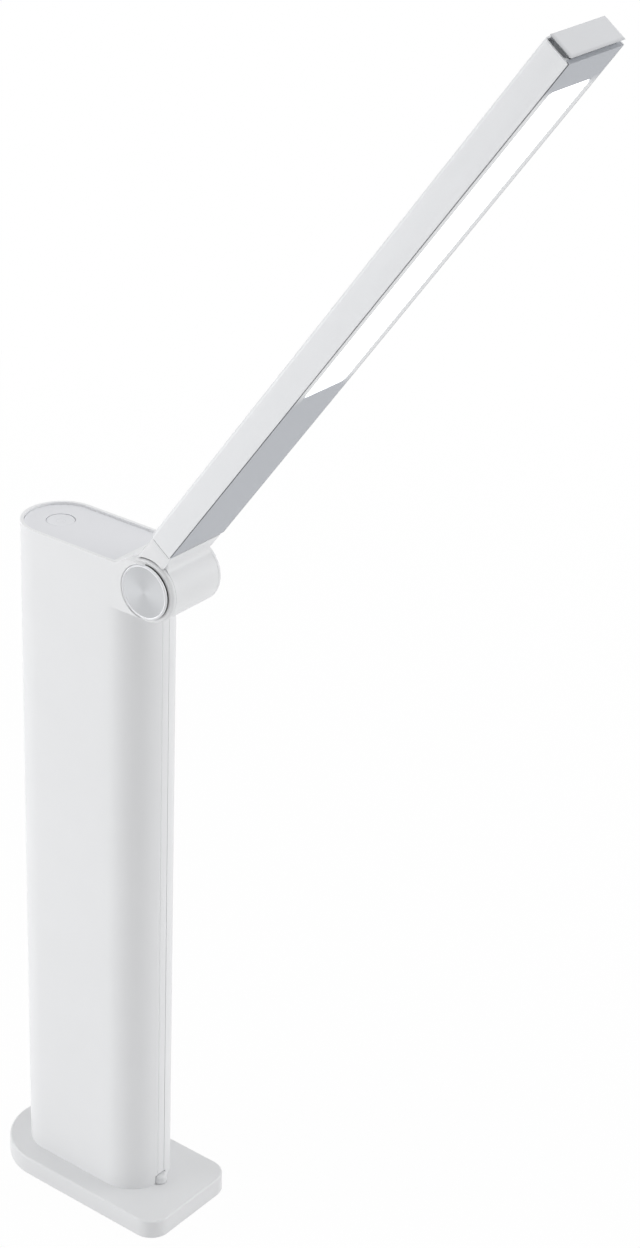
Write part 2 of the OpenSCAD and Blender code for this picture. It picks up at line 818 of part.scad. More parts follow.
// Lead from the driver board up the far side, through the far ear, to the hinge axis
module column_lead() {
    x = socket_mid_x;
    y = 0.53 * driver_half;
    low = socket_top;
    up_x = round_x - 8;
    over = pocket_floor + pin_flange_t + lead_r + 0.05;
    color(black_rubber) lead([[x, y, low], [x, y, low + 4], [x, y, low + 12],
        [x + 3, y + 3.5, low + 0.16 * (hinge_z - low)], [up_x, inner_r - 2.4, (low + hinge_z) / 2],
        [up_x, inner_r - 2.4, hinge_z - 40], [up_x, inner_r - 2, hinge_z - 12],
        [up_x + 0.5, inner_r - 1.4, hinge_z - 4], [up_x + 2, inner_r - 1, hinge_z - 0.6],
        [up_x + 4, inner_r - 0.4, hinge_z], [up_x + 7, lead_slot_y, hinge_z],
        [up_x + 11, lead_slot_y, hinge_z], [hinge_x - 8, over, hinge_z],
        [hinge_x - 2.2, over, hinge_z], [hinge_x - 0.5, over - 0.5, hinge_z],
        [hinge_x, over - 2.4, hinge_z], [hinge_x, over - 5, hinge_z],
        [hinge_x, lead_meet_y + 2, hinge_z], [hinge_x, lead_meet_y, hinge_z]], [1, 0, 0.1]);
}

// ---- hinge ----

// Solid pin pressed in from the near side
module near_pin() {
    color(steel) {
        hinge_bar(pin_flange_r, -pocket_floor - pin_flange_t, -pocket_floor);
        hinge_bar(pin_r, -pocket_floor, -pin_in);
    }
}

// Hollow pin on the far side, which the lead passes through
module far_bush() {
    color(steel) difference() {
        union() {
            hinge_bar(pin_flange_r, pocket_floor, pocket_floor + pin_flange_t);
            hinge_bar(pin_r, pin_in, pocket_floor);
        }
        hinge_bar(bush_bore_r, 0, column_r);
    }
}

// Hollow cap over the end of the hinge, with a bevelled edge and a dished face
module hinge_cap() {
    face = column_r - cap_dish;
    color(satin_grey) translate([hinge_x, 0, hinge_z]) rotate([-90, 0, 0]) rotate_extrude()
        polygon([[0, face - cap_face_t], [cap_r - cap_rim_t - 0.6, face - cap_face_t],
            [cap_r - cap_rim_t - 0.6, pocket_floor], [cap_neck_r, pocket_floor],
            [cap_neck_r, ear_out + cap_groove], [cap_r, ear_out + cap_groove],
            [cap_r, column_r - cap_bevel], [cap_r - cap_bevel, column_r],
            [cap_r - 1.5 * cap_bevel, column_r], [cap_r - 1.5 * cap_bevel - cap_dish, face],
            [0, face]]);
}

// The far cap has a notch in its neck for the lead
module far_cap() {
    color(satin_grey) difference() {
        hinge_cap();
        translate([hinge_x - cap_r - cut, pocket_floor - cut, hinge_z - lead_slot_h / 2])
            cube([3 + cut, lead_slot_y - pocket_floor + 0.9 + cut, lead_slot_h]);
    }
}

module near_cap() {
    mirror([0, 1, 0]) hinge_cap();
}

module washer_pair(r, y0, y1) {
    both_sides() difference() {
        hinge_bar(r, y0, y1);
        hinge_bar(pin_r + 0.15, y0 - cut, y1 + cut);
    }
}

module fibre_washers() {
    floor_y = knuckle_half - washer_bore_t;
    color([0.45, 0.2, 0.12]) washer_pair(washer_bore_r - 0.3, floor_y, floor_y + 0.6);
}

module disc_springs() {
    floor_y = knuckle_half - washer_bore_t + 0.6;
    color(steel) washer_pair(washer_bore_r - 1, floor_y, ear_in - 0.05);
}

// ---- arm ----

// Plastic knuckle, wedge and tongue in one moulding
module arm_root() {
    color(white) on_arm() difference() {
        union() {
            rotate([90, 0, 0]) cylinder(r = barrel_r, h = 2 * knuckle_half, center = true);
            difference() {
                translate([0, -cheek_half, face_e]) cube([root_reach, 2 * cheek_half, root_top - face_e]);
                both_sides() translate([0, knuckle_half, 0]) rotate([-90, 0, 0])
                    cylinder(r = cheek_r, h = column_r);
                seam_groove();
            }
            rotate([90, 0, 0]) linear_extrude(2 * knuckle_half, center = true) difference() {
                polygon([[0, 0], [fillet_t, face_e - root_fillet], [fillet_t, face_e + 1], [0, face_e + 1]]);
                translate([fillet_t, face_e - root_fillet]) circle(r = root_fillet, $fn = 64);
            }
            translate([root_reach - cut, -tongue_half, tongue_e])
                cube([tongue_l + cut, 2 * tongue_half, rib_e - tongue_e]);
        }
        both_sides() {
            rotate([-90, 0, 0]) cylinder(r = pin_r + run_gap, h = column_r);
            translate([0, knuckle_half - washer_bore_t, 0]) rotate([-90, 0, 0])
                cylinder(r = washer_bore_r, h = column_r);
            translate([arm_screw_t, rib_y, 0]) {
                cylinder(r = arm_screw_r + fit_gap, h = arm_top);
                cylinder(r = arm_screw_head_r + 0.3, h = tongue_e + 2.4);
            }
        }
        rotate([90, 0, 0]) cylinder(r = root_cavity_r, h = 2 * pin_in - 1, center = true);
        translate([0, -lead_way, lead_floor])
            cube([root_reach + tongue_l + cut, 2 * lead_way, lead_roof - lead_floor]);
    }
}

// Shadow line round the root, where the channel meets it
module seam_groove() {
    along_arm(root_reach - seam_w, root_reach + cut) difference() {
        square(4 * arm_w, center = true);
        translate([-cheek_half + seam_in, face_e + seam_in])
            square([2 * (cheek_half - seam_in), root_top - face_e - 2 * seam_in]);
    }
}

// Section of the channel's outside
module channel_section() {
    r = channel_edge;
    h = arm_w / 2;
    translate([-h, face_e]) square([arm_w, arm_t - r]);
    translate([-h + r, face_e]) square([arm_w - 2 * r, arm_t]);
    for (s = [-1, 1]) translate([s * (h - r), arm_top - r]) circle(r = r, $fn = 48);
}

// Aluminium channel, open below, with two ledges for the bezel and two screw ribs
module arm_channel() {
    color(satin_grey) on_arm() difference() {
        along_arm(root_reach, channel_end) difference() {
            channel_section();
            translate([-channel_half, face_e - cut])
                square([2 * channel_half, bezel_back - face_e + cut]);
            translate([-ledge_half, face_e - cut])
                square([2 * ledge_half, rib_e - face_e + cut]);
            translate([-channel_half, bezel_back + ledge_t])
                square([2 * channel_half, rib_e - bezel_back - 1.2]);
            difference() {
                translate([-channel_half, rib_e - cut]) square([2 * channel_half, rib_h + cut]);
                for (s = [-1, 1]) translate([s * rib_y - rib_w / 2, rib_e]) square([rib_w, rib_h + cut]);
            }
        }
        translate([root_reach, 0, arm_top - channel_edge]) rotate([90, 0, 0])
            linear_extrude(arm_w + cut, center = true) difference() {
                translate([-cut, 0]) square([channel_edge + cut, channel_edge + cut]);
                translate([channel_edge, 0]) circle(r = channel_edge, $fn = 48);
            }
        both_sides() {
            for (t = led_screw_at) translate([t, rib_y, rib_e - cut])
                cylinder(r = led_screw_r + seat_gap, h = rib_h + cut, $fn = screw_fn);
            translate([arm_screw_t, rib_y, rib_e - cut])
                cylinder(r = arm_screw_r + seat_gap, h = rib_h + 0.5 + cut, $fn = screw_fn);
        }
    }
}

module arm_screws() {
    color(steel) on_arm() both_sides() translate([arm_screw_t, rib_y, tongue_e + 2.4])
        screw(arm_screw_r, rib_e + rib_h - tongue_e - 2.4, arm_screw_head_r, arm_screw_head_h);
}

module window_outline(grow) {
    c = window_corner;
    l = window_l + 2 * grow;
    w = window_w + 2 * grow;
    translate([window_from - grow, -w / 2]) {
        translate([c, 0]) square([l - 2 * c, w]);
        translate([0, c]) square([l, w - 2 * c]);
        for (x = [c, l - c]) for (y = [c, w - c]) translate([x, y]) circle(r = c, $fn = 48);
    }
}

// Plate that closes the underside of the channel around the window
module bezel() {
    color(satin_grey) on_arm() translate([0, 0, face_e]) linear_extrude(bezel_t) difference() {
        translate([root_reach + fit_gap, -bezel_half])
            square([channel_end - root_reach - 2 * fit_gap, 2 * bezel_half]);
        window_outline(0);
    }
}

// Opal plate with a lip behind the bezel
module diffuser() {
    color([0.97, 0.98, 1]) on_arm() {
        translate([0, 0, face_e + diffuser_in]) linear_extrude(bezel_t - diffuser_in)
            window_outline(-diffuser_gap);
        translate([0, 0, bezel_back]) linear_extrude(diffuser_lip_t) window_outline(diffuser_lip);
    }
}

module led_board() {
    color([0.93, 0.94, 0.95]) on_arm() difference() {
        translate([window_from + led_margin, -led_board_w / 2, led_board_e])
            cube([window_l - 2 * led_margin, led_board_w, board_t]);
        both_sides() for (t = led_screw_at) translate([t, rib_y, led_board_e - cut])
            cylinder(r = led_screw_r + fit_gap, h = board_t + 2 * cut, $fn = screw_fn);
    }
}

// Two rows of light emitters under the board
module leds() {
    start = window_from + (window_l - (led_count - 1) * led_pitch) / 2;
    color([0.95, 0.9, 0.5]) on_arm() both_sides() for (i = [0:led_count - 1])
        translate([start + i * led_pitch - led_l / 2, led_row_y - led_w / 2, led_board_e - led_t])
            cube([led_l, led_w, led_t]);
}

module led_screws() {
    color(steel) on_arm() both_sides() for (t = led_screw_at)
        translate([t, rib_y, led_board_e])
            screw(led_screw_r, board_t + rib_h - 0.3, led_screw_head_r, led_screw_head_h);
}

// Lead from the hinge axis along the root's way to the light board
module arm_lead() {
    end = window_from + led_margin + 3;
    color(black_rubber) on_arm() lead([[0, lead_meet_y - 0.1, 0], [0, 8, 0],
        [0, 7, 0], [0.2, 4.5, 0.3], [2, 1.5, 1.8], [5, 0, 4.2], [9, 0, 5.8], [16, 0, 6], [root_reach + 14, 0, 6],
        [root_reach + tongue_l, 0, 6], [window_from - 30, 0, 6], [end - 4, 0, 5.4],
        [end - 0.8, 0, 5.8], [end, 0, led_board_e - 2.2], [end, 0, led_board_e - 1.2],
        [end, 0, led_board_e]], [0, 0, 1]);
}

// Cap on the arm's tip: a plate with bevelled edges and a hollow plug
module tip_cap() {
    slope = atan2(tip_bevel, tip_bevel_in);
    mid = face_e + arm_t / 2;
    color(satin_grey) on_arm() {
        difference() {
            along_arm(channel_end + tip_gap, arm_end) channel_section();
            for (a = [0:90:270]) {
                half = (a % 180 == 0 ? arm_w : arm_t) / 2;
                translate([arm_end, 0, mid]) rotate([a, 0, 0])
                    translate([0, half - tip_bevel_in, 0]) rotate([0, 0, 90 + slope])
                        translate([0, -arm_w, -arm_w]) cube([arm_w, 2 * arm_w, 2 * arm_w]);
            }
        }
        along_arm(channel_end - 10, channel_end + tip_gap + tip_bevel / 2) difference() {
            translate([-tongue_half, tongue_e]) square([2 * tongue_half, rib_e - tongue_e]);
            translate([-tongue_half + 1.5, tongue_e + 1.5])
                square([2 * tongue_half - 3, rib_e - tongue_e - 3]);
        }
    }
}

base_shell();
base_weight();
base_cover();
rubber_sole();
cover_screws();
column_screws();
column_shell();
front_strip();
rest_bumper();
top_panel();
switch_board();
tact_switch();
switch_screws();
driver_board();
driver_parts();
power_jack();
jack_nut();
jack_lead();
switch_lead();
column_lead();
near_pin();
far_bush();
near_cap();
far_cap();
power_key();
key_clip();
arm_root();
fibre_washers();
disc_springs();
arm_channel();
arm_screws();
bezel();
diffuser();
led_board();
leds();
led_screws();
arm_lead();
tip_cap();
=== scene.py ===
import math

import bmesh
import bpy
from mathutils import Matrix, Vector


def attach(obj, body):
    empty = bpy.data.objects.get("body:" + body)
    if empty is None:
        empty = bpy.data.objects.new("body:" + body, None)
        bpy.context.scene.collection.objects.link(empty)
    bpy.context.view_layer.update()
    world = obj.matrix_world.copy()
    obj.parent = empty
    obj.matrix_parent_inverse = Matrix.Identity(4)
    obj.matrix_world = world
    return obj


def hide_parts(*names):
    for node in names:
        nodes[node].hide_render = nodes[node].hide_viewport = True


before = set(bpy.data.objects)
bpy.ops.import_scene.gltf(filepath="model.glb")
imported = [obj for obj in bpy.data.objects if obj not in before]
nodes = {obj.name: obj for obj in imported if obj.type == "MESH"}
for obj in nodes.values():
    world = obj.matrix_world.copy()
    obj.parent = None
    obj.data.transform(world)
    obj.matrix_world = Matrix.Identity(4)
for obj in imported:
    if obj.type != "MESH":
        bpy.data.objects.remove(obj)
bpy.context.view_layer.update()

# ---------------------------------------------------------------------------
# Base moulding. One white injection moulding: a thin plate with a turned-down
# wall and an eased top edge, fine-textured in the tool. The column drops over
# the spigot on its top.
# ---------------------------------------------------------------------------


def put(tree, kind, feeds=None, **settings):
    """Puts one node in a tree. Feeds are sockets or plain values for its inputs."""
    node = tree.nodes.new(kind)
    for setting, value in settings.items():
        setattr(node, setting, value)
    for place, feed in (feeds or {}).items():
        if isinstance(feed, bpy.types.NodeSocket):
            tree.links.new(feed, node.inputs[place])
        else:
            node.inputs[place].default_value = feed
    return node


def made(tree, kind, feeds=None, **settings):
    """The first result of one new node."""
    return put(tree, kind, feeds, **settings).outputs[0]


def reckon(tree, how, first, second=0.0):
    """The result of one sum in a tree."""
    return made(tree, "ShaderNodeMath", {0: first, 1: second}, operation=how)


def new_finish(name):
    """An empty material: its node tree, the shader and the object coordinates."""
    finish = bpy.data.materials.new(name)
    finish.use_nodes = True
    tree = finish.node_tree
    place = put(tree, "ShaderNodeTexCoord").outputs["Object"]
    return finish, tree, tree.nodes["Principled BSDF"], place


def speckle(tree, place, per_mm, detail=2.0, stretch=(1, 1, 1), turn=0.0):
    """Noise with that many cells in a millimetre, stretched and turned about Y."""
    laid = made(tree, "ShaderNodeMapping", {"Vector": place, "Rotation": (0, turn, 0)})
    drawn = made(tree, "ShaderNodeMapping", {"Vector": laid, "Scale": stretch})
    noise = {"Vector": drawn, "Scale": per_mm * 1000, "Detail": detail}
    return put(tree, "ShaderNodeTexNoise", noise).outputs["Fac"]


def between(tree, factor, low, high, start=0.3, stop=0.7):
    """A number that runs from low to high as the factor runs from start to stop."""
    spread = {"Value": factor, "From Min": start, "From Max": stop, "To Min": low, "To Max": high}
    return put(tree, "ShaderNodeMapRange", spread).outputs["Result"]


def shades(tree, factor, dark, light):
    """A colour between two, mixed by the factor. Either may be another mix."""
    mix = put(tree, "ShaderNodeMix", {"Factor": factor}, data_type="RGBA")
    for socket, shade in ((mix.inputs[6], dark), (mix.inputs[7], light)):
        if isinstance(shade, bpy.types.NodeSocket):
            tree.links.new(shade, socket)
        else:
            socket.default_value = (*shade, 1)
    return mix.outputs[2]


def dimmed(colour, share):
    """The colour at a share of its brightness."""
    return tuple(channel * share for channel in colour)


def relief(tree, shader, height, depth_mm):
    """Fine relief in the surface, depth_mm deep."""
    bump = put(tree, "ShaderNodeBump", {"Height": height, "Distance": depth_mm / 1000, "Strength": 1.0})
    tree.links.new(bump.outputs["Normal"], shader.inputs["Normal"])


def moulded_plastic(name, colour, rough, grain_mm, depth_mm, coat=0.0):
    """Injection-moulded plastic: a faint flow mottle, a fine tool texture."""
    flow_per_mm, flow_shade, spread = 0.03, 0.985, 0.04
    finish, tree, shader, place = new_finish(name)
    mottle = between(tree, speckle(tree, place, flow_per_mm), 0, 1)
    tree.links.new(shades(tree, mottle, dimmed(colour, flow_shade), colour), shader.inputs["Base Color"])
    grain = speckle(tree, place, 1 / grain_mm, detail=3)
    tree.links.new(between(tree, grain, rough - spread, rough + spread), shader.inputs["Roughness"])
    shader.inputs["IOR"].default_value = 1.48
    shader.inputs["Coat Weight"].default_value = coat
    shader.inputs["Coat Roughness"].default_value = 0.12
    relief(tree, shader, grain, depth_mm)
    return finish


def finish_with(piece, finish):
    """The piece in one material all over."""
    piece.data.materials.clear()
    piece.data.materials.append(finish)


def set_out(name, data):
    """A new object in the scene, of a mesh, a lamp or a camera."""
    thing = bpy.data.objects.new(name, data)
    bpy.context.scene.collection.objects.link(thing)
    return thing


def finished_piece(name, mesh, seam=40):
    """A mesh as a named piece with smooth faces, and an even sheen on its flats."""
    mesh.polygons.foreach_set("use_smooth", [True] * len(mesh.polygons))
    mesh.set_sharp_from_angle(angle=math.radians(seam))
    piece = set_out(name, mesh)
    even = piece.modifiers.new("even sheen", "WEIGHTED_NORMAL")
    even.keep_sharp = True
    even.weight = 90
    return piece


def settled(draft):
    """The plain mesh that an object's modifiers make. The object itself is removed."""
    held = bpy.context.evaluated_depsgraph_get()
    mesh = bpy.data.meshes.new_from_object(draft.evaluated_get(held))
    bpy.data.objects.remove(draft)
    return mesh


def ease_edges(mesh, name, radius_mm, steps, seam, left_sharp=None):
    """The mesh with its sharp edges rounded, as a tool leaves them, but not where left_sharp says.

    left_sharp is asked about the middle of each edge, in millimetres.
    """
    mesh.attributes.new("bevel_weight_edge", "FLOAT", "EDGE")
    solid = bmesh.new()
    solid.from_mesh(mesh)
    ease = solid.edges.layers.float["bevel_weight_edge"]
    for edge in solid.edges:
        turned = edge.is_manifold and edge.calc_face_angle(0) > math.radians(seam)
        middle = (edge.verts[0].co + edge.verts[1].co) / 2 * 1000
        edge[ease] = 1.0 if turned and not (left_sharp and left_sharp(middle)) else 0.0
    solid.to_mesh(mesh)
    solid.free()
    rough = set_out(name + "_rough", mesh)
    bevel = rough.modifiers.new("eased edges", "BEVEL")
    bevel.width = radius_mm / 1000
    bevel.segments = steps
    bevel.limit_method = "WEIGHT"
    bevel.use_clamp_overlap = True
    bevel.miter_outer = "MITER_ARC"
    return settled(rough)


def eased_copy(node, name, radius_mm, steps=3, seam=32, left_sharp=None):
    """The CAD solid as a clean mesh with eased edges."""
    same_point, level = 0.000002, math.radians(0.4)
    solid = bmesh.new()
    solid.from_mesh(nodes[node].data)
    bmesh.ops.remove_doubles(solid, verts=solid.verts, dist=same_point)
    bmesh.ops.dissolve_limit(solid, angle_limit=level, verts=solid.verts, edges=solid.edges)
    mesh = bpy.data.meshes.new(name)
    solid.to_mesh(mesh)
    solid.free()
    return finished_piece(name, ease_edges(mesh, name, radius_mm, steps, seam, left_sharp))


def fit_piece(piece, body, node):
    """Says which body the piece rides on and which CAD node it dresses."""
    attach(piece, body)
    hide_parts(node)


white_moulding = moulded_plastic("white_moulding", (0.845, 0.852, 0.862), 0.42, 0.25, 0.004)
base_moulding = eased_copy("base_shell", "base_moulding", 0.35)
# the base's white is a darker copy of the column's white: painted shade on the base
base_white = moulded_plastic("base_white", (0.785, 0.792, 0.802), 0.42, 0.25, 0.004)
finish_with(base_moulding, base_white)
fit_piece(base_moulding, "stand", "base_shell")

# ---------------------------------------------------------------------------
# Underside of the base. A grey cover with a fine leathery texture. The steel
# weight lies inside.
# ---------------------------------------------------------------------------

cover_finish = moulded_plastic("cover_finish", (0.55, 0.56, 0.58), 0.6, 0.5, 0.03)
under_cover = eased_copy("base_cover", "under_cover", 0.2)
finish_with(under_cover, cover_finish)
fit_piece(under_cover, "stand", "base_cover")


def plated_steel(name, colour, rough, lay=(1, 1, 1)):
    """Plated steel: fine drawn lines and a slight cloudiness in the plating."""
    cloud_per_mm, cloud_shade, lines_per_mm, lines_deep_mm, spread = 0.2, 0.9, 3, 0.003, 0.06
    finish, tree, shader, place = new_finish(name)
    shader.inputs["Metallic"].default_value = 1.0
    cloud = between(tree, speckle(tree, place, cloud_per_mm), 0, 1)
    tree.links.new(shades(tree, cloud, dimmed(colour, cloud_shade), colour), shader.inputs["Base Color"])
    lines = speckle(tree, place, lines_per_mm, detail=3, stretch=lay)
    tree.links.new(between(tree, lines, rough - spread, rough + spread), shader.inputs["Roughness"])
    relief(tree, shader, lines, lines_deep_mm)
    return finish


zinc = plated_steel("zinc", (0.62, 0.62, 0.64), 0.32)
weight_steel = plated_steel("weight_steel", (0.42, 0.42, 0.44), 0.45, lay=(0.1, 1, 1))
finish_with(nodes["base_weight"], weight_steel)

# ---------------------------------------------------------------------------
# Rubber sole. A black sheet let into the cover, moulded with narrow ribs
# across it that grip the table. Each rib ends where the sheet's outline does.
# ---------------------------------------------------------------------------


def shape_rule(name, sizes):
    """An empty Geometry Nodes tree whose inputs are a start shape and named sizes."""
    tree = bpy.data.node_groups.new(name, "GeometryNodeTree")
    tree.interface.new_socket("Start", in_out="INPUT", socket_type="NodeSocketGeometry")
    for size in sizes:
        tree.interface.new_socket(size, in_out="INPUT", socket_type="NodeSocketFloat")
    tree.interface.new_socket("Shape", in_out="OUTPUT", socket_type="NodeSocketGeometry")
    return tree, put(tree, "NodeGroupInput").outputs


def dressed(tree, shape, finish, where=True):
    """The shape in that finish, or only the faces that where picks."""
    return made(tree, "GeometryNodeSetMaterial", {"Geometry": shape, "Selection": where, "Material": finish})


def end_rule(tree, shape, finish):
    """Closes a tree: instances made real, all in one finish."""
    real = made(tree, "GeometryNodeRealizeInstances", {0: shape})
    put(tree, "NodeGroupOutput", {0: dressed(tree, real, finish)})


same_spot = 0.0000005


def shaped_by(tree, name, sizes, start, outward=True):
    """The plain mesh that a tree makes of a start shape, with the sizes given."""
    seed = set_out(name + "_start", start)
    rule = seed.modifiers.new("rule", "NODES")
    rule.node_group = tree
    for socket in tree.interface.items_tree:
        if socket.in_out == "INPUT" and socket.name in sizes:
            rule[socket.identifier] = float(sizes[socket.name])
    mesh = settled(seed)
    if outward:
        solid = bmesh.new()
        solid.from_mesh(mesh)
        bmesh.ops.remove_doubles(solid, verts=solid.verts, dist=same_spot)
        bmesh.ops.recalc_face_normals(solid, faces=solid.faces)
        solid.to_mesh(mesh)
        solid.free()
    return mesh


def line_of(points, name, closed=False):
    """A mesh of points joined by edges, as a start shape. The points are in millimetres."""
    mesh = bpy.data.meshes.new(name)
    pairs = [(i, i + 1) for i in range(len(points) - 1)]
    if closed:
        pairs.append((len(points) - 1, 0))
    mesh.from_pydata([[c / 1000 for c in point] for point in points], pairs, [])
    return mesh


sole_finish, tree, shader, place = new_finish("sole_finish")
dust = between(tree, speckle(tree, place, 0.4, detail=4), 0, 1)
tree.links.new(shades(tree, dust, (0.022, 0.022, 0.024), (0.04, 0.04, 0.042)), shader.inputs["Base Color"])
shader.inputs["Roughness"].default_value = 0.78
relief(tree, shader, speckle(tree, place, 3), 0.02)


def xyz(tree, **parts):
    """A vector of the parts given."""
    return made(tree, "ShaderNodeCombineXYZ", parts)


def places_of(tree):
    """Where each point of a shape lies: its X, Y and Z."""
    here = made(tree, "GeometryNodeInputPosition")
    return put(tree, "ShaderNodeSeparateXYZ", {0: here}).outputs


def squared(tree, number):
    """A number times itself."""
    return reckon(tree, "POWER", number, 2.0)


def joined(tree, *parts):
    """The parts as one shape."""
    join = put(tree, "GeometryNodeJoinGeometry")
    for part in parts:
        tree.links.new(part, join.inputs[0])
    return join.outputs[0]


def ribbed_sheet(finish):
    """The rule of the sole: a filled outline made thick, and a row of ribs as long as it is wide."""
    sizes = ["Sheet", "Rib", "Pitch", "Count", "Middle", "Straight", "Round", "Margin"]
    tree, given = shape_rule("ribbed_sheet", sizes)
    outline = made(tree, "GeometryNodeMeshToCurve", {"Mesh": given["Start"]})
    fill = made(tree, "GeometryNodeFillCurve", {"Curve": outline})
    up = xyz(tree, Z=1.0)
    thick = {"Mesh": fill, "Offset": up, "Offset Scale": given["Sheet"], "Individual": False}
    wall = made(tree, "GeometryNodeExtrudeMesh", thick)
    gaps = reckon(tree, "SUBTRACT", given["Count"], 1.0)
    span = reckon(tree, "MULTIPLY", gaps, given["Pitch"])
    from_x = reckon(tree, "SUBTRACT", given["Middle"], reckon(tree, "MULTIPLY", span, 0.5))
    begin, apart = xyz(tree, X=from_x, Z=given["Rib"]), xyz(tree, X=given["Pitch"])
    row = {"Count": given["Count"], "Start Location": begin, "Offset": apart}
    line = made(tree, "GeometryNodeMeshLine", row)
    away = reckon(tree, "ABSOLUTE", reckon(tree, "SUBTRACT", places_of(tree)["X"], given["Middle"]))
    over = reckon(tree, "MAXIMUM", reckon(tree, "SUBTRACT", away, given["Straight"]), 0.0)
    left = reckon(tree, "SUBTRACT", squared(tree, given["Round"]), squared(tree, over))
    to_edge = reckon(tree, "SQRT", reckon(tree, "MAXIMUM", left, 0.0))
    half = reckon(tree, "SUBTRACT", to_edge, given["Margin"])
    long = xyz(tree, X=1.0, Y=reckon(tree, "MULTIPLY", half, 2.0), Z=1.0)
    bar = made(tree, "GeometryNodeMeshCylinder", {"Vertices": 10, "Radius": given["Rib"], "Depth": 1.0})
    lying = made(tree, "GeometryNodeTransform", {"Geometry": bar, "Rotation": (math.radians(90), 0, 0)})
    ribs = made(tree, "GeometryNodeInstanceOnPoints", {"Points": line, "Instance": lying, "Scale": long})
    end_rule(tree, joined(tree, ribs, wall, fill), finish)
    return tree


sole_sheet, sole_rib, rib_pitch, rib_count, rib_margin = 0.75, 0.45, 2.6, 35, 1.4
sole_mid, sole_straight, sole_round = 5.25, 28.25, 19.4
sole_sizes = {
    "Sheet": sole_sheet / 1000, "Rib": sole_rib / 1000, "Pitch": rib_pitch / 1000, "Count": rib_count,
    "Middle": sole_mid / 1000, "Straight": sole_straight / 1000, "Round": sole_round / 1000,
    "Margin": rib_margin / 1000,
}
around = [math.radians(a) for a in range(-90, 91, 6)]
sole_outline = [
    (sole_mid + side * (sole_straight + sole_round * math.cos(a)), side * sole_round * math.sin(a), sole_rib)
    for side in (1, -1)
    for a in around
]
mesh = shaped_by(
    ribbed_sheet(sole_finish), "ribbed_sole", sole_sizes, line_of(sole_outline, "sole_outline", closed=True)
)
ribbed_sole = finished_piece("ribbed_sole", mesh)
fit_piece(ribbed_sole, "stand", "rubber_sole")

# ---------------------------------------------------------------------------
# Screws. Zinc plated pan heads with a cross recess: four hold the cover, four
# longer ones come up through the base into the column.
# ---------------------------------------------------------------------------

screw_sizes = ["Head radius", "Head height", "Dome", "Recess", "Shaft radius", "Shaft length"]


def pan_head_screw(finish):
    """The rule of a screw set: one domed head, recess and shaft at each start point."""
    recess_long, recess_deep = 1.15, 1.1
    tree, given = shape_rule("pan_head_screw", screw_sizes)
    blank = {"Vertices": 40, "Side Segments": 2, "Fill Segments": 6,
             "Radius": given["Head radius"], "Depth": given["Head height"]}
    head = made(tree, "GeometryNodeMeshCylinder", blank, fill_type="TRIANGLE_FAN")
    at = places_of(tree)
    off_axis = reckon(tree, "ADD", squared(tree, at["X"]), squared(tree, at["Y"]))
    share = reckon(tree, "DIVIDE", off_axis, squared(tree, given["Head radius"]))
    rise = xyz(tree, Z=reckon(tree, "MULTIPLY", share, given["Dome"]))
    outer = reckon(tree, "LESS_THAN", at["Z"], 0.0)
    domed = made(tree, "GeometryNodeSetPosition", {"Geometry": head, "Selection": outer, "Offset": rise})
    down = reckon(tree, "MULTIPLY", given["Head height"], -0.5)
    to_face = xyz(tree, Z=down)
    long = reckon(tree, "MULTIPLY", given["Head radius"], recess_long)
    deep = reckon(tree, "MULTIPLY", given["Head height"], recess_deep)
    cuts = []
    for along, across in ((given["Recess"], long), (long, given["Recess"])):
        cutter = made(tree, "GeometryNodeMeshCube", {"Size": xyz(tree, X=along, Y=across, Z=deep)})
        cuts.append(made(tree, "GeometryNodeTransform", {"Geometry": cutter, "Translation": to_face}))
    cross = {"Mesh 1": domed, "Mesh 2": joined(tree, *cuts), "Self Intersection": True}
    driven = made(tree, "GeometryNodeMeshBoolean", cross, operation="DIFFERENCE", solver="EXACT")
    rod = {"Vertices": 24, "Radius": given["Shaft radius"], "Depth": given["Shaft length"]}
    shaft = made(tree, "GeometryNodeMeshCylinder", rod)
    half = reckon(tree, "MULTIPLY", given["Shaft length"], 0.5)
    above = xyz(tree, Z=reckon(tree, "SUBTRACT", half, down))
    upright = made(tree, "GeometryNodeTransform", {"Geometry": shaft, "Translation": above})
    screw = joined(tree, driven, upright)
    under = made(tree, "GeometryNodeTransform", {"Geometry": screw, "Translation": to_face})
    each = made(tree, "GeometryNodeInstanceOnPoints", {"Points": given["Start"], "Instance": under})
    end_rule(tree, each, finish)
    return tree


screw_rule = pan_head_screw(zinc)
screw_sets = {
    "cover_screws": (((57.9, 24.4), (-40.607, 17.607)), 1.7, (2.3, 1.1, 0.35, 0.55, 1.3, 5.5)),
    "column_screws": (((27, 13.937), (-27, 13.937)), 7.9, (3.2, 2.0, 0.6, 0.8, 1.75, 24.0)),
}
for node, (places, seat, measures) in screw_sets.items():
    points = [(x, side * y, seat) for x, y in places for side in (-1, 1)]
    sizes = {name: size / 1000 for name, size in zip(screw_sizes, measures)}
    mesh = shaped_by(screw_rule, node, sizes, line_of(points, node + "_places"), outward=False)
    zinc_screws = finished_piece("zinc_" + node, mesh, seam=30)
    fit_piece(zinc_screws, "stand", node)
for small in ("switch_screws", "key_clip", "arm_screws", "led_screws"):
    finish_with(nodes[small], zinc)

# ---------------------------------------------------------------------------
# Column. One tall white moulding: a tube with rounded ends, whose head carries
# two ears for the hinge. A trim strip is pressed into a groove down its front,
# with a soft stop at the strip's foot.
# ---------------------------------------------------------------------------

hinge_x, hinge_z = 0.0457, 0.3659
groove_ahead, groove_half, groove_low, groove_high = 40, 3, 20, 348
seat_side, seat_round = 17.5, 14.5


def from_hinge(point):
    """How far a point, in metres, lies from the hinge axis, in millimetres."""
    return 1000 * math.hypot(point.x - hinge_x, point.z - hinge_z)


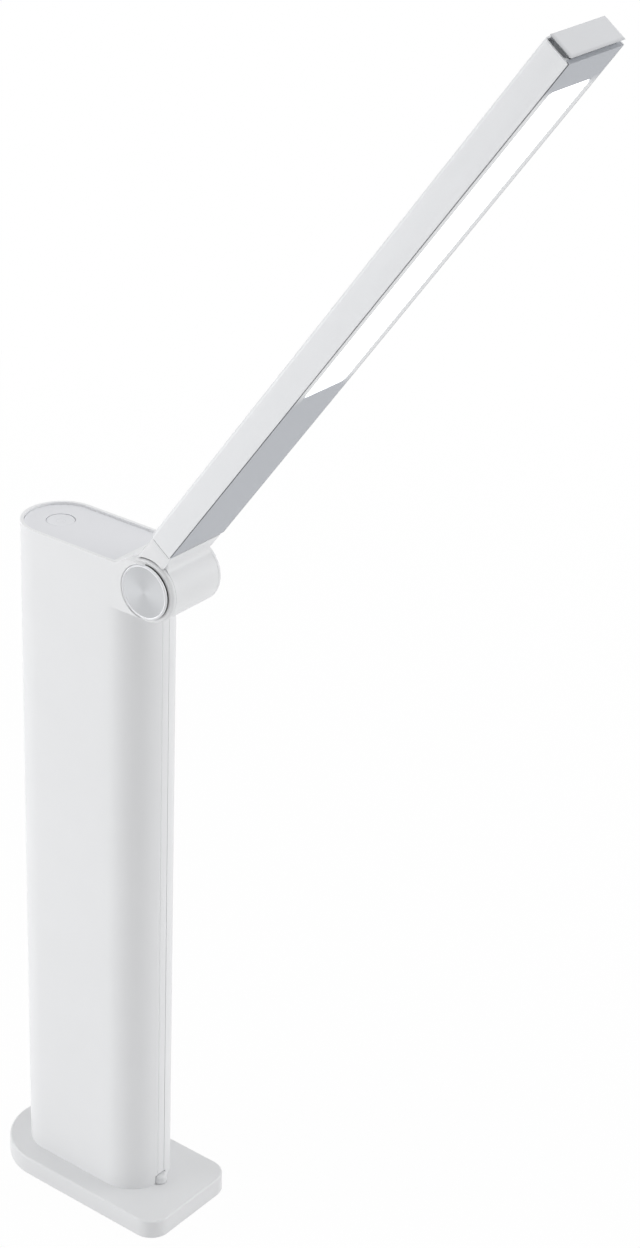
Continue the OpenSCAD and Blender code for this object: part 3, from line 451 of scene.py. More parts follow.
def beside_trim(point):
    """True along the groove of the trim strip, whose edges the tool leaves crisp."""
    in_front = point.x > groove_ahead and abs(point.y) < groove_half
    return in_front and groove_low < point.z < groove_high


def round_cap_seat(point):
    """True on the rim of the seat that each hinge cap is let into."""
    return abs(point.y) > seat_side and from_hinge(point / 1000) < seat_round


def left_crisp(point):
    """True where the tool leaves the column's edges sharp."""
    return beside_trim(point) or round_cap_seat(point)


column_body = eased_copy("column_shell", "column_body", 0.3, left_sharp=left_crisp)
finish_with(column_body, white_moulding)
fit_piece(column_body, "stand", "column_shell")

trim_strip = eased_copy("front_strip", "trim_strip", 0.05, steps=1, seam=50)
finish_with(trim_strip, white_moulding)
fit_piece(trim_strip, "stand", "front_strip")

soft_white = moulded_plastic("soft_white", (0.80, 0.81, 0.82), 0.65, 0.4, 0.01)
foot_stop = eased_copy("rest_bumper", "foot_stop", 0.2)
finish_with(foot_stop, soft_white)
fit_piece(foot_stop, "stand", "rest_bumper")

# ---------------------------------------------------------------------------
# Top panel and power key. The panel is a pale grey plate let into the rim; the
# round key in it has a shallow dish for the fingertip and the usual power mark
# printed faintly in its face.
# ---------------------------------------------------------------------------

panel_grey = (0.765, 0.773, 0.80)
panel_finish = moulded_plastic("panel_finish", panel_grey, 0.38, 0.3, 0.004)
panel_plate = eased_copy("top_panel", "panel_plate", 0.05, steps=2)
finish_with(panel_plate, panel_finish)
fit_piece(panel_plate, "stand", "top_panel")

key_x = -0.0238
mark_round, mark_line, mark_faint = 0.0023, 0.00022, 0.16
mark_soft, mark_gap = (mark_line * 0.7, mark_line * 1.3), mark_line * 5
bar_from, bar_to = 0.0004, 0.0030
mark_grey = (0.42, 0.43, 0.45)
key_finish = moulded_plastic("key_finish", panel_grey, 0.36, 0.3, 0.003)
tree, shader = key_finish.node_tree, key_finish.node_tree.nodes["Principled BSDF"]
place = put(tree, "ShaderNodeTexCoord").outputs["Object"]
from_key = made(tree, "ShaderNodeMapping", {"Vector": place, "Location": (-key_x, 0, 0)})
at = put(tree, "ShaderNodeSeparateXYZ", {0: from_key}).outputs
ahead, aside = at["X"], reckon(tree, "ABSOLUTE", at["Y"])
apart = reckon(tree, "SQRT", reckon(tree, "ADD", squared(tree, ahead), squared(tree, aside)))
off_ring = reckon(tree, "ABSOLUTE", reckon(tree, "SUBTRACT", apart, mark_round))
near_bar = reckon(tree, "LESS_THAN", aside, mark_gap)
in_gap = reckon(tree, "MULTIPLY", near_bar, reckon(tree, "GREATER_THAN", ahead, 0.0))
not_gap = reckon(tree, "SUBTRACT", 1.0, in_gap)
ring = reckon(tree, "MULTIPLY", between(tree, off_ring, 1, 0, *mark_soft), not_gap)
past_start = reckon(tree, "GREATER_THAN", ahead, bar_from)
on_length = reckon(tree, "MULTIPLY", past_start, reckon(tree, "LESS_THAN", ahead, bar_to))
bar = reckon(tree, "MULTIPLY", between(tree, aside, 1, 0, *mark_soft), on_length)
faint = reckon(tree, "MULTIPLY", reckon(tree, "MAXIMUM", ring, bar), mark_faint)
tree.links.new(shades(tree, faint, panel_grey, mark_grey), shader.inputs["Base Color"])
key_disc = eased_copy("power_key", "key_disc", 0.05, steps=2)
finish_with(key_disc, key_finish)
fit_piece(key_disc, "key", "power_key")

# ---------------------------------------------------------------------------
# Inside the column. Green lacquered boards, the switch under the key, the
# driver's components, and thin black leads between them.
# ---------------------------------------------------------------------------

board_lacquer, tree, shader, place = new_finish("board_lacquer")
weave = speckle(tree, place, 2.5, detail=1)
greens = shades(tree, between(tree, weave, 0, 1), (0.012, 0.10, 0.035), (0.02, 0.15, 0.055))
tree.links.new(greens, shader.inputs["Base Color"])
shader.inputs["Roughness"].default_value = 0.28
relief(tree, shader, weave, 0.01)
for board in ("switch_board", "driver_board"):
    finish_with(nodes[board], board_lacquer)

black_plastic = moulded_plastic("black_plastic", (0.028, 0.028, 0.03), 0.45, 0.4, 0.01)
for block in ("tact_switch", "driver_parts"):
    finish_with(nodes[block], black_plastic)

lead_skin, tree, shader, place = new_finish("lead_skin")
talc = between(tree, speckle(tree, place, 1.0, detail=4), 0, 1)
tree.links.new(shades(tree, talc, (0.02, 0.02, 0.02), (0.035, 0.035, 0.037)), shader.inputs["Base Color"])
shader.inputs["Roughness"].default_value = 0.5
for lead in ("jack_lead", "switch_lead", "column_lead", "arm_lead"):
    finish_with(nodes[lead], lead_skin)

# ---------------------------------------------------------------------------
# Power inlet. A black round socket low in the back of the column, held by a
# plated hexagon nut against a spot-faced flat.
# ---------------------------------------------------------------------------

inlet_socket = eased_copy("power_jack", "inlet_socket", 0.15)
finish_with(inlet_socket, black_plastic)
fit_piece(inlet_socket, "stand", "power_jack")

inlet_nut = eased_copy("jack_nut", "inlet_nut", 0.25)
finish_with(inlet_nut, zinc)
fit_piece(inlet_nut, "stand", "jack_nut")

# ---------------------------------------------------------------------------
# Hinge. Steel pins in the ears, fibre and spring washers beside the knuckle,
# and a turned aluminium cap over each end: a bevelled rim in a paler copy of
# the cap's metal, a painted highlight, over a neck painted black as shade,
# round a dished face that is brushed in circles.
# ---------------------------------------------------------------------------

for pin in ("near_pin", "far_bush", "disc_springs"):
    finish_with(nodes[pin], zinc)

fibre = moulded_plastic("fibre", (0.26, 0.09, 0.05), 0.8, 0.2, 0.02)
finish_with(nodes["fibre_washers"], fibre)


def about_hinge(tree, place):
    """The place as seen from the hinge axis."""
    return made(tree, "ShaderNodeMapping", {"Vector": place, "Location": (-hinge_x, 0, -hinge_z)})


def turned_metal(name, colour, low_rough, high_rough, metal):
    """Aluminium brushed in circles about the hinge axis, which draws a sheen across it."""
    rings_per_m, ring_shade, ring_deep_mm = 9000, 0.93, 0.004
    finish, tree, shader, place = new_finish(name)
    shader.inputs["Metallic"].default_value = metal
    at = put(tree, "ShaderNodeSeparateXYZ", {0: about_hinge(tree, place)}).outputs
    flat = xyz(tree, X=at["X"], Z=at["Z"])
    reach = put(tree, "ShaderNodeVectorMath", {0: flat}, operation="LENGTH").outputs["Value"]
    fine = {"W": reach, "Scale": rings_per_m, "Detail": 2}
    rings = put(tree, "ShaderNodeTexNoise", fine, noise_dimensions="1D").outputs["Fac"]
    tree.links.new(between(tree, rings, low_rough, high_rough), shader.inputs["Roughness"])
    tree.links.new(shades(tree, rings, dimmed(colour, ring_shade), colour), shader.inputs["Base Color"])
    shader.inputs["Anisotropic"].default_value = 0.4
    along = made(tree, "ShaderNodeVectorMath", {0: flat, 1: (0, 1, 0)}, operation="CROSS_PRODUCT")
    unit = made(tree, "ShaderNodeVectorMath", {0: along}, operation="NORMALIZE")
    tree.links.new(unit, shader.inputs["Tangent"])
    relief(tree, shader, rings, ring_deep_mm)
    return finish


def point_of_start(tree, given, number):
    """The start shape's point of that number: its X, Y and Z."""
    here = made(tree, "GeometryNodeInputPosition")
    look = {"Geometry": given["Start"], "Value": here, "Index": number}
    found = made(tree, "GeometryNodeSampleIndex", look, data_type="FLOAT_VECTOR", domain="POINT")
    return put(tree, "ShaderNodeSeparateXYZ", {0: found}).outputs


def seated(tree, given, shape, **turn):
    """The shape turned about the axis that turn names, and carried to its seat."""
    seat = xyz(tree, X=given["Seat X"], Z=given["Seat Z"])
    laid = {"Geometry": shape, "Translation": seat, "Rotation": xyz(tree, **turn)}
    return made(tree, "GeometryNodeTransform", laid)


def turned_shape(finish):
    """The rule of a turned part: the start line of radius and height, taken round an axis."""
    tree, given = shape_rule("turned_shape", ["Rows", "Steps", "Facing", "Seat X", "Seat Z"])
    long = reckon(tree, "SUBTRACT", given["Rows"], 1.0)
    more = reckon(tree, "ADD", given["Steps"], 1.0)
    cells = {"Size X": long, "Size Y": math.tau, "Vertices X": given["Rows"], "Vertices Y": more}
    cloth = made(tree, "GeometryNodeMeshGrid", cells)
    at = places_of(tree)
    row = reckon(tree, "ADD", at["X"], reckon(tree, "MULTIPLY", long, 0.5))
    line = point_of_start(tree, given, reckon(tree, "ROUND", row))
    across = reckon(tree, "MULTIPLY", line["X"], reckon(tree, "COSINE", at["Y"]))
    aside = reckon(tree, "MULTIPLY", line["X"], reckon(tree, "SINE", at["Y"]))
    where = xyz(tree, X=across, Y=aside, Z=line["Z"])
    turned = made(tree, "GeometryNodeSetPosition", {"Geometry": cloth, "Position": where})
    closed = made(tree, "GeometryNodeMergeByDistance", {"Geometry": turned, "Distance": same_spot})
    end_rule(tree, seated(tree, given, closed, X=given["Facing"]), finish)
    return tree


def rounded(points, radius, steps=4, most=0.45):
    """The line of points with each corner an arc, which takes at most that share of a side."""
    line = [points[0]]
    for before, corner, after in zip(points, points[1:], points[2:]):
        corner, back, on = Vector(corner), Vector(before), Vector(after)
        cut = min(radius, most * min((back - corner).length, (on - corner).length))
        first = corner + (back - corner).normalized() * cut
        last = corner + (on - corner).normalized() * cut
        for i in range(steps + 1):
            u = i / steps
            line.append(tuple(first * (1 - u) ** 2 + corner * 2 * u * (1 - u) + last * u ** 2))
    return line + [points[-1]]


def further_finish(mesh, finish):
    """Adds a finish to a mesh, and gives the number by which its faces take it."""
    mesh.materials.append(finish)
    return len(mesh.materials) - 1


cap_metal = turned_metal("cap_metal", (0.515, 0.525, 0.54), 0.42, 0.52, 0.6)
# a paler, less metallic copy of the cap's metal for the rim's bevel: a painted highlight
cap_highlight = turned_metal("cap_highlight", (0.84, 0.85, 0.87), 0.34, 0.44, 0.3)
# black standing in for shade: painted shade under the caps, in the root's seam and gaps, and under the
# channel's walls
cap_shadow = moulded_plastic("cap_shadow", (0.012, 0.012, 0.013), 0.6, 0.4, 0.005)
# radii from the hinge axis, heights from the lamp's middle plane
cap_round, cap_neck, cap_hollow = 13.8, 12.9, 11.8
cap_foot, rim_foot, rim_edge, rim_bevel, rim_top = 17.0, 18.03, 19.0, 19.4, 20.0
cap_inside, cap_face = 18.95, 19.65
bevel_wide, lip_wide, dish_wide = 0.6, 0.9, 1.25
cap_line = [
    (0, cap_inside), (cap_hollow, cap_inside), (cap_hollow, cap_foot), (cap_neck, cap_foot),
    (cap_neck, rim_foot), (cap_round, rim_foot), (cap_round, rim_edge), (cap_round, rim_bevel),
    (cap_round - bevel_wide, rim_top), (cap_round - lip_wide, rim_top),
    (cap_round - dish_wide, cap_face), (0, cap_face),
]
corner_round, cap_steps = 0.1, 144
cap_points = [(r, 0, h) for r, h in rounded(cap_line, corner_round)]
cap_sizes = {"Rows": len(cap_points), "Steps": cap_steps, "Seat X": hinge_x, "Seat Z": hinge_z}
cap_rule = turned_shape(cap_metal)
# the neck and the rim's underside are painted black as shade; the rim's bevel takes a paler copy of the
# metal as a painted highlight
shade_from, shade_to, highlight_from, finish_slack = 17.1, 18.96, 18.9, 0.05
for side, facing in (("near", 90), ("far", -90)):
    sizes = {**cap_sizes, "Facing": math.radians(facing)}
    mesh = shaped_by(cap_rule, side + "_turned_cap", sizes, line_of(cap_points, "cap_line"))
    shade_slot = further_finish(mesh, cap_shadow)
    highlight_slot = further_finish(mesh, cap_highlight)
    for face in mesh.polygons:
        out, apart = abs(face.center.y) * 1000, from_hinge(face.center)
        if shade_from < out < shade_to and apart > cap_neck - finish_slack:
            face.material_index = shade_slot
        elif out > highlight_from and apart > cap_round - dish_wide - finish_slack:
            face.material_index = highlight_slot
    turned_cap = finished_piece(side + "_turned_cap", mesh)
    fit_piece(turned_cap, "stand", side + "_cap")

# ---------------------------------------------------------------------------
# Root of the arm. A white moulding: the hinge knuckle, the wedge above it and
# a tongue that is screwed into the channel. Its seam against the channel and
# the gaps beside the column's ears are painted black as shade.
# ---------------------------------------------------------------------------

arm_tilt = math.radians(54.1)


def along_arm(point):
    """How far a point, in metres, lies along the arm from the hinge axis, in millimetres."""
    ahead, above = point.x - hinge_x, point.z - hinge_z
    return 1000 * (ahead * math.cos(arm_tilt) + above * math.sin(arm_tilt))


def above_lit_face(point):
    """How far a point, in metres, lies from the lit face's plane through the axis, in millimetres."""
    ahead, above = point.x - hinge_x, point.z - hinge_z
    return 1000 * (above * math.cos(arm_tilt) - ahead * math.sin(arm_tilt))


root_moulding = eased_copy("arm_root", "root_moulding", 0.3)
finish_with(root_moulding, white_moulding)
# the seam and the gaps beside the ears are painted black: painted shade
shade_slot = further_finish(root_moulding.data, cap_shadow)
seam_from, seam_to = 25.95, 26.55
gap_side, gap_round, gap_above = 15.2, 16.82, 4
for face in root_moulding.data.polygons:
    in_seam = seam_from < along_arm(face.center) < seam_to
    in_gap = abs(face.center.y) * 1000 > gap_side and from_hinge(face.center) < gap_round
    if in_seam or in_gap and above_lit_face(face.center) > gap_above:
        face.material_index = shade_slot
fit_piece(root_moulding, "arm", "arm_root")

# ---------------------------------------------------------------------------
# Channel of the arm. A silver lacquered aluminium extrusion: one section drawn
# along the arm, open below, with ledges for the plate and ribs for the screws.
# Its end beside the root is eased down at the top.
# ---------------------------------------------------------------------------


def drawn_section(finish):
    """The rule of an extrusion: the start section at every station of a straight run."""
    sizes = ["Points", "From", "To", "Stations", "Eased", "Shoulder", "Top", "Tilt", "Seat X", "Seat Z"]
    tree, given = shape_rule("drawn_section", sizes)
    last = reckon(tree, "SUBTRACT", given["Stations"], 1.0)
    more = reckon(tree, "ADD", given["Points"], 1.0)
    cells = {"Size X": last, "Size Y": given["Points"], "Vertices X": given["Stations"], "Vertices Y": more}
    cloth = made(tree, "GeometryNodeMeshGrid", cells)
    at = places_of(tree)
    from_start = reckon(tree, "ADD", at["X"], reckon(tree, "MULTIPLY", last, 0.5))
    station = reckon(tree, "ROUND", from_start)
    from_first = reckon(tree, "ADD", at["Y"], reckon(tree, "MULTIPLY", given["Points"], 0.5))
    number = reckon(tree, "MODULO", reckon(tree, "ROUND", from_first), given["Points"])
    line = point_of_start(tree, given, number)
    # the last station is the far end, the others are packed into the eased stretch
    packed = reckon(tree, "DIVIDE", station, reckon(tree, "SUBTRACT", last, 1.0))
    near = reckon(tree, "ADD", given["From"], reckon(tree, "MULTIPLY", packed, given["Eased"]))
    is_end = reckon(tree, "GREATER_THAN", station, reckon(tree, "SUBTRACT", last, 0.5))
    if_near = reckon(tree, "MULTIPLY", near, reckon(tree, "SUBTRACT", 1.0, is_end))
    reach = reckon(tree, "ADD", if_near, reckon(tree, "MULTIPLY", given["To"], is_end))
    where = xyz(tree, X=reach, Y=line["X"], Z=line["Y"])
    shells = [made(tree, "GeometryNodeSetPosition", {"Geometry": cloth, "Position": where})]
    section = made(tree, "GeometryNodeMeshToCurve", {"Mesh": given["Start"]})
    face = made(tree, "GeometryNodeFillCurve", {"Curve": section})
    for end in ("From", "To"):
        drawn = places_of(tree)
        stood = xyz(tree, X=given[end], Y=drawn["X"], Z=drawn["Y"])
        shells.append(made(tree, "GeometryNodeSetPosition", {"Geometry": face, "Position": stood}))
    whole = {"Geometry": joined(tree, *shells), "Distance": same_spot}
    closed = made(tree, "GeometryNodeMergeByDistance", whole)
    # a point above the shoulder sinks as the end's arc does
    spot = places_of(tree)
    inward = reckon(tree, "MINIMUM", reckon(tree, "SUBTRACT", spot["X"], given["From"]), given["Eased"])
    short = reckon(tree, "SUBTRACT", given["Eased"], inward)
    left = reckon(tree, "SUBTRACT", squared(tree, given["Eased"]), squared(tree, short))
    lost = reckon(tree, "SUBTRACT", given["Eased"], reckon(tree, "SQRT", left))
    high = reckon(tree, "MAXIMUM", reckon(tree, "SUBTRACT", spot["Z"], given["Shoulder"]), 0.0)
    share = reckon(tree, "DIVIDE", high, reckon(tree, "SUBTRACT", given["Top"], given["Shoulder"]))
    sink = reckon(tree, "MULTIPLY", reckon(tree, "MULTIPLY", share, lost), -1.0)
    eased = made(tree, "GeometryNodeSetPosition", {"Geometry": closed, "Offset": xyz(tree, Z=sink)})
    end_rule(tree, seated(tree, given, eased, Y=given["Tilt"]), finish)
    return tree


silver_lacquer, tree, shader, place = new_finish("silver_lacquer")
shader.inputs["Metallic"].default_value = 0.12
draw_lines = speckle(tree, place, 1.5, detail=3, stretch=(0.02, 1, 1), turn=arm_tilt)
flake = speckle(tree, place, 6, detail=1)
silvers = shades(tree, between(tree, flake, 0, 1), (0.765, 0.775, 0.79), (0.80, 0.81, 0.825))
tree.links.new(silvers, shader.inputs["Base Color"])
tree.links.new(between(tree, draw_lines, 0.46, 0.56), shader.inputs["Roughness"])
relief(tree, shader, draw_lines, 0.003)
# a dark grey for the channel's end beside the root: painted shade in the seam
seam_shade = moulded_plastic("seam_shade", (0.40, 0.41, 0.42), 0.45, 0.4, 0.002)

arm_half, arm_low, arm_high, shoulder = 19.8, 0.5, 14.5, 10.0
channel_from, channel_to, channel_round, stations = 26.5, 352.0, 2.0, 10
channel_in, ledge_in, ledge_low, ledge_high = 18.8, 16.6, 2.5, 3.7
roof, rib_low, rib_near, rib_far = 13.5, 11.0, 7.5, 12.5
chamfer_high, chamfer_wide, taper_high = 0.25, 0.2, 1.4
corner = [math.radians(a) for a in range(90, -1, -10)]
turn_side, turn_high = arm_half - channel_round, arm_high - channel_round
right_half = [
    (turn_side + channel_round * math.cos(a), turn_high + channel_round * math.sin(a)) for a in corner
] + [
    (arm_half, arm_low + chamfer_high), (arm_half - chamfer_wide, arm_low),
    (channel_in, arm_low + taper_high), (channel_in, ledge_low), (ledge_in, ledge_low),
    (ledge_in, ledge_high), (channel_in, ledge_high), (channel_in, roof), (rib_far, roof),
    (rib_far, rib_low), (rib_near, rib_low), (rib_near, roof),
]
section = [(y, e, 0) for y, e in right_half] + [(-y, e, 0) for y, e in reversed(right_half)]
sizes = {
    "Points": len(section), "From": channel_from / 1000, "To": channel_to / 1000, "Stations": stations,
    "Eased": channel_round / 1000, "Shoulder": shoulder / 1000, "Top": arm_high / 1000, "Tilt": -arm_tilt,
    "Seat X": hinge_x, "Seat Z": hinge_z,
}
section_line = line_of(section, "section", closed=True)
mesh = shaped_by(drawn_section(silver_lacquer), "drawn_channel", sizes, section_line)
drawn_channel = finished_piece("drawn_channel", ease_edges(mesh, "drawn_channel", 0.15, 2, 50))
cut = further_finish(drawn_channel.data, seam_shade)
shade_slot = further_finish(drawn_channel.data, cap_shadow)
seam_shade_deep, skin, shade_high = 0.4, 0.1, 1.5
# the end faces are painted dark and the taper under each wall black: painted shade in the seam and in the
# gap beside the plate
for face in drawn_channel.data.polygons:
    on_taper = channel_in - skin < -face.center.y * 1000 < arm_half - skin
    if along_arm(face.center) < channel_from + seam_shade_deep:
        face.material_index = cut
    elif on_taper and above_lit_face(face.center) < arm_low + shade_high:
        face.material_index = shade_slot
fit_piece(drawn_channel, "arm", "arm_channel")

# ---------------------------------------------------------------------------
# Lit side of the arm. A matt grey plate frames an opal window; behind it a
# white lacquered board carries two rows of emitters with yellow lenses.
# ---------------------------------------------------------------------------


def arm_places(tree):
    """Three numbers of a place on the arm, in metres: along it, across it and above its lit face."""
    centred = about_hinge(tree, put(tree, "ShaderNodeTexCoord").outputs["Object"])
    ahead, rise = math.cos(arm_tilt), math.sin(arm_tilt)
    numbers = []
    for way in ((ahead, 0, rise), (0, 1, 0), (-rise, 0, ahead)):
        told = put(tree, "ShaderNodeVectorMath", {0: centred, 1: way}, operation="DOT_PRODUCT")
        numbers.append(told.outputs["Value"])
    return numbers


# the plate is painted paler beside the window: painted light from the window
plate_colour, plate_lit = (0.48, 0.50, 0.535), (0.82, 0.83, 0.84)
lit_aside, lit_from, lit_to = (0.0139, 0.0146), (0.140, 0.150), (0.331, 0.337)
plate_grey = moulded_plastic("plate_grey", plate_colour, 0.5, 0.3, 0.006)
tree, shader = plate_grey.node_tree, plate_grey.node_tree.nodes["Principled BSDF"]
along, aside = arm_places(tree)[:2]
beside = between(tree, reckon(tree, "ABSOLUTE", aside), 0, 1, *lit_aside)
past_start, before_end = between(tree, along, 0, 1, *lit_from), between(tree, along, 1, 0, *lit_to)
lit = reckon(tree, "MULTIPLY", beside, reckon(tree, "MINIMUM", past_start, before_end))
tree.links.new(shades(tree, lit, plate_colour, plate_lit), shader.inputs["Base Color"])
window_plate = eased_copy("bezel", "window_plate", 0.2)
# the plate's long edges are drawn out to the channel's walls
edge_from, edge_wider = 0.0174, 0.0009
for corner_point in window_plate.data.vertices:
    if abs(corner_point.co.y) > edge_from:
        corner_point.co.y += math.copysign(edge_wider, corner_point.co.y)
finish_with(window_plate, plate_grey)
fit_piece(window_plate, "arm", "bezel")

opal_glow, tree, shader, place = new_finish("opal_glow")
milk = between(tree, speckle(tree, place, 0.15, detail=1), 0, 1)
glow = shades(tree, milk, (0.985, 0.99, 1.0), (1.0, 1.0, 1.0))
tree.links.new(glow, shader.inputs["Emission Color"])
shader.inputs["Base Color"].default_value = (0.9, 0.9, 0.9, 1)
shader.inputs["Roughness"].default_value = 0.45
shader.inputs["Emission Strength"].default_value = 1.0
opal_window = eased_copy("diffuser", "opal_window", 0.1)
finish_with(opal_window, opal_glow)
fit_piece(opal_window, "arm", "diffuser")

white_lacquer = moulded_plastic("white_lacquer", (0.80, 0.81, 0.82), 0.3, 0.4, 0.004)
finish_with(nodes["led_board"], white_lacquer)
emitter_yellow = moulded_plastic("emitter_yellow", (0.80, 0.66, 0.18), 0.25, 0.3, 0.004)

emitter_sizes = {
    "Count": 18, "Pitch": 0.010, "Row": 0.005, "Middle": 0.2397, "Level": 0.009, "Long": 0.0035,
    "Wide": 0.0028, "High": 0.0008, "Lens": 0.0012, "Tilt": -arm_tilt, "Seat X": hinge_x, "Seat Z": hinge_z,
}
lens_flat, lens_low, lens_face = 0.18, -0.3, 0.0000005


def emitter_rows(body, lens):
    """The rule of the emitters: a body and a domed lens at each place of two rows."""
    tree, given = shape_rule("emitter_rows", emitter_sizes)
    run = reckon(tree, "MULTIPLY", reckon(tree, "SUBTRACT", given["Count"], 1.0), given["Pitch"])
    apart = reckon(tree, "MULTIPLY", given["Row"], 2.0)
    rows = {"Size X": run, "Size Y": apart, "Vertices X": given["Count"], "Vertices Y": 2}
    grid = made(tree, "GeometryNodeMeshGrid", rows)
    block = xyz(tree, X=given["Long"], Y=given["Wide"], Z=given["High"])
    case = made(tree, "GeometryNodeMeshCube", {"Size": block})
    ball = made(tree, "GeometryNodeMeshUVSphere", {"Segments": 16, "Rings": 8, "Radius": given["Lens"]})
    low = xyz(tree, Z=reckon(tree, "MULTIPLY", given["High"], lens_low))
    flat = {"Geometry": ball, "Scale": (1, 1, lens_flat), "Translation": low}
    dome = made(tree, "GeometryNodeTransform", flat)
    emitter = joined(tree, case, dome)
    each = made(tree, "GeometryNodeInstanceOnPoints", {"Points": grid, "Instance": emitter})
    level = xyz(tree, X=given["Middle"], Z=given["Level"])
    laid = made(tree, "GeometryNodeTransform", {"Geometry": each, "Translation": level})
    placed = seated(tree, given, laid, Y=given["Tilt"])
    real = dressed(tree, made(tree, "GeometryNodeRealizeInstances", {0: placed}), body)
    small = reckon(tree, "LESS_THAN", made(tree, "GeometryNodeInputMeshFaceArea"), lens_face)
    put(tree, "NodeGroupOutput", {0: dressed(tree, real, lens, small)})
    return tree


seedling = line_of([(0, 0, 0)], "emitters_start")
emitter_rule = emitter_rows(white_lacquer, emitter_yellow)
mesh = shaped_by(emitter_rule, "emitters", emitter_sizes, seedling, outward=False)
emitters = finished_piece("emitters", mesh)
fit_piece(emitters, "arm", "leds")

# ---------------------------------------------------------------------------
# Tip cap. A glossy grey moulding that closes the channel's end, with a bevel
# all round and a narrow shadow gap against the channel.
# ---------------------------------------------------------------------------

# the cap darkens toward its near side and its lower edge: a painted dark reflection in the bevel
tip_colour, tip_reflection_dark = (0.64, 0.65, 0.67), (0.40, 0.41, 0.43)
side_fade, low_fade = (-0.0198, -0.0165), (0.0005, 0.003)
tip_gloss = moulded_plastic("tip_gloss", tip_colour, 0.18, 0.4, 0.001, coat=0.5)
tree, shader = tip_gloss.node_tree, tip_gloss.node_tree.nodes["Principled BSDF"]
aside, above = arm_places(tree)[1:]
from_side, from_low = between(tree, aside, 0, 1, *side_fade), between(tree, above, 0, 1, *low_fade)
reflection_mask = reckon(tree, "MINIMUM", from_side, from_low)
tree.links.new(shades(tree, reflection_mask, tip_reflection_dark, tip_colour), shader.inputs["Base Color"])
tip_plate = eased_copy("tip_cap", "tip_plate", 0.15)
# the bevel round the cap's end is narrowed and its face stands out a little farther,
# by so much for each millimetre past the bevel's foot
bevel_from, middle_above = 352.8, 7.5
farther_each, higher_each, wider_each = 0.0005, 0.00026, 0.075
for corner_point in tip_plate.data.vertices:
    reach = max(0, along_arm(corner_point.co) - bevel_from)
    farther = farther_each * reach
    higher = higher_each * reach * (above_lit_face(corner_point.co) - middle_above)
    corner_point.co.x += farther * math.cos(arm_tilt) - higher * math.sin(arm_tilt)
    corner_point.co.y *= 1 + wider_each * reach
    corner_point.co.z += farther * math.sin(arm_tilt) + higher * math.cos(arm_tilt)
finish_with(tip_plate, tip_gloss)
fit_piece(tip_plate, "arm", "tip_cap")

# ---------------------------------------------------------------------------
# Photographer's stage. A plain white floor that keeps a faint shadow, a white
# surround, three large soft lamps and the camera of the photograph.
# ---------------------------------------------------------------------------

floor_mesh = bpy.data.meshes.new("studio_floor")
floor_reach = 8.0
corners = [(-1, -1), (1, -1), (1, 1), (-1, 1)]
floor_mesh.from_pydata([(x * floor_reach, y * floor_reach, 0) for x, y in corners], [], [(0, 1, 2, 3)])
studio_floor = set_out("studio_floor", floor_mesh)
floor_paint = bpy.data.materials.new("floor_paint")
floor_paint.use_nodes = True
tree = floor_paint.node_tree
tree.nodes.clear()
paper = put(tree, "ShaderNodeBsdfDiffuse", {"Color": (0.97, 0.97, 0.975, 1)})
shine = put(tree, "ShaderNodeEmission", {"Strength": 1.0})
seen = put(tree, "ShaderNodeLightPath")
directly = reckon(tree, "MAXIMUM", seen.outputs["Is Camera Ray"], seen.outputs["Is Glossy Ray"])
# the floor keeps its shadow near the lamp and turns plain white farther out
near_share, shadow_reach, plain_reach = 0.96, 0.25, 1.2
ground = put(tree, "ShaderNodeTexCoord").outputs["Object"]
outward = put(tree, "ShaderNodeVectorMath", {0: ground}, operation="LENGTH").outputs["Value"]
glow_share = between(tree, outward, near_share, 1.0, shadow_reach, plain_reach)
both = put(tree, "ShaderNodeMixShader", {
    0: reckon(tree, "MULTIPLY", directly, glow_share), 1: paper.outputs[0], 2: shine.outputs[0],
})
put(tree, "ShaderNodeOutputMaterial", {"Surface": both.outputs[0]})
studio_floor.data.materials.append(floor_paint)

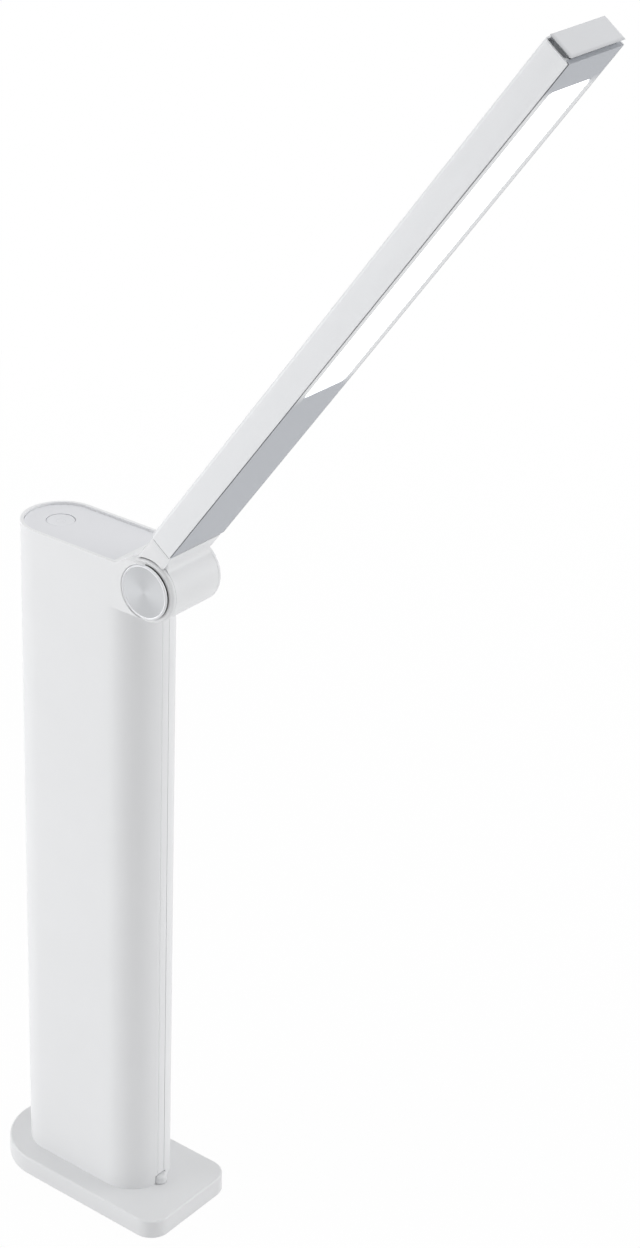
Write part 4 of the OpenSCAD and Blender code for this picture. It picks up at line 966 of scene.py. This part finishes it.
surround_light = 0.464
surround = bpy.data.worlds.new("surround")
bpy.context.scene.world = surround
surround.use_nodes = True
tree = surround.node_tree
sky = tree.nodes["Background"]
seen = put(tree, "ShaderNodeLightPath")
through = reckon(tree, "MAXIMUM", seen.outputs["Is Camera Ray"], seen.outputs["Is Transmission Ray"])
directly = reckon(tree, "MAXIMUM", through, seen.outputs["Is Glossy Ray"])
tree.links.new(between(tree, directly, surround_light, 1.0, 0.0, 1.0), sky.inputs["Strength"])
sky.inputs["Color"].default_value = (1.0, 1.0, 1.0, 1)


def soft_lamp(name, bearing, away, height, wide, high, watts):
    """A large soft box at a bearing from -Y toward +X, aimed at the lamp's middle."""
    lamp = bpy.data.lights.new(name, "AREA")
    lamp.shape = "RECTANGLE"
    lamp.size = wide
    lamp.size_y = high
    lamp.energy = watts
    holder = set_out(name, lamp)
    turned = math.radians(bearing)
    stands = Vector((away * math.sin(turned), -away * math.cos(turned), height))
    aims = Vector((0.05, 0, 0.25))
    holder.location = stands
    holder.rotation_euler = (aims - stands).to_track_quat("-Z", "Y").to_euler()


soft_lamp("left_box", bearing=-42, away=1.35, height=0.2, wide=0.95, high=0.9, watts=9.9)
soft_lamp("right_box", bearing=130, away=2.2, height=0.9, wide=1.2, high=1.8, watts=16.8)
soft_lamp("top_box", bearing=0, away=0.01, height=2.2, wide=1.6, high=1.6, watts=13.8)

# the camera's place, turn, lens and picture centre are found from the edges in the photograph
turn, drop, roll = math.radians(38.02), math.radians(27.85), math.radians(1.56)
lens_pixels, centre_x, centre_y = 2695.49, 254.95, 669.14
picture_wide, picture_high, film_high = 640, 1248, 36
back = Vector((math.sin(turn) * math.cos(drop), -math.cos(turn) * math.cos(drop), math.sin(drop)))
level_right = Vector((math.cos(turn), math.sin(turn), 0))
level_up = back.cross(level_right)
right = level_right * math.cos(roll) + level_up * math.sin(roll)
up = level_up * math.cos(roll) - level_right * math.sin(roll)
camera = set_out("photo_camera", bpy.data.cameras.new("photo_camera"))
stands = Matrix.Translation((0.7744, -0.86672, 0.91723))
camera.matrix_world = stands @ Matrix((right, up, back)).transposed().to_4x4()
camera.data.sensor_fit = "VERTICAL"
camera.data.sensor_height = film_high
camera.data.lens = lens_pixels / picture_high * film_high
camera.data.shift_x = (picture_wide / 2 - centre_x) / picture_high
camera.data.shift_y = (centre_y - picture_high / 2) / picture_high
bpy.context.scene.camera = camera

bpy.context.scene.view_settings.view_transform = "Standard"
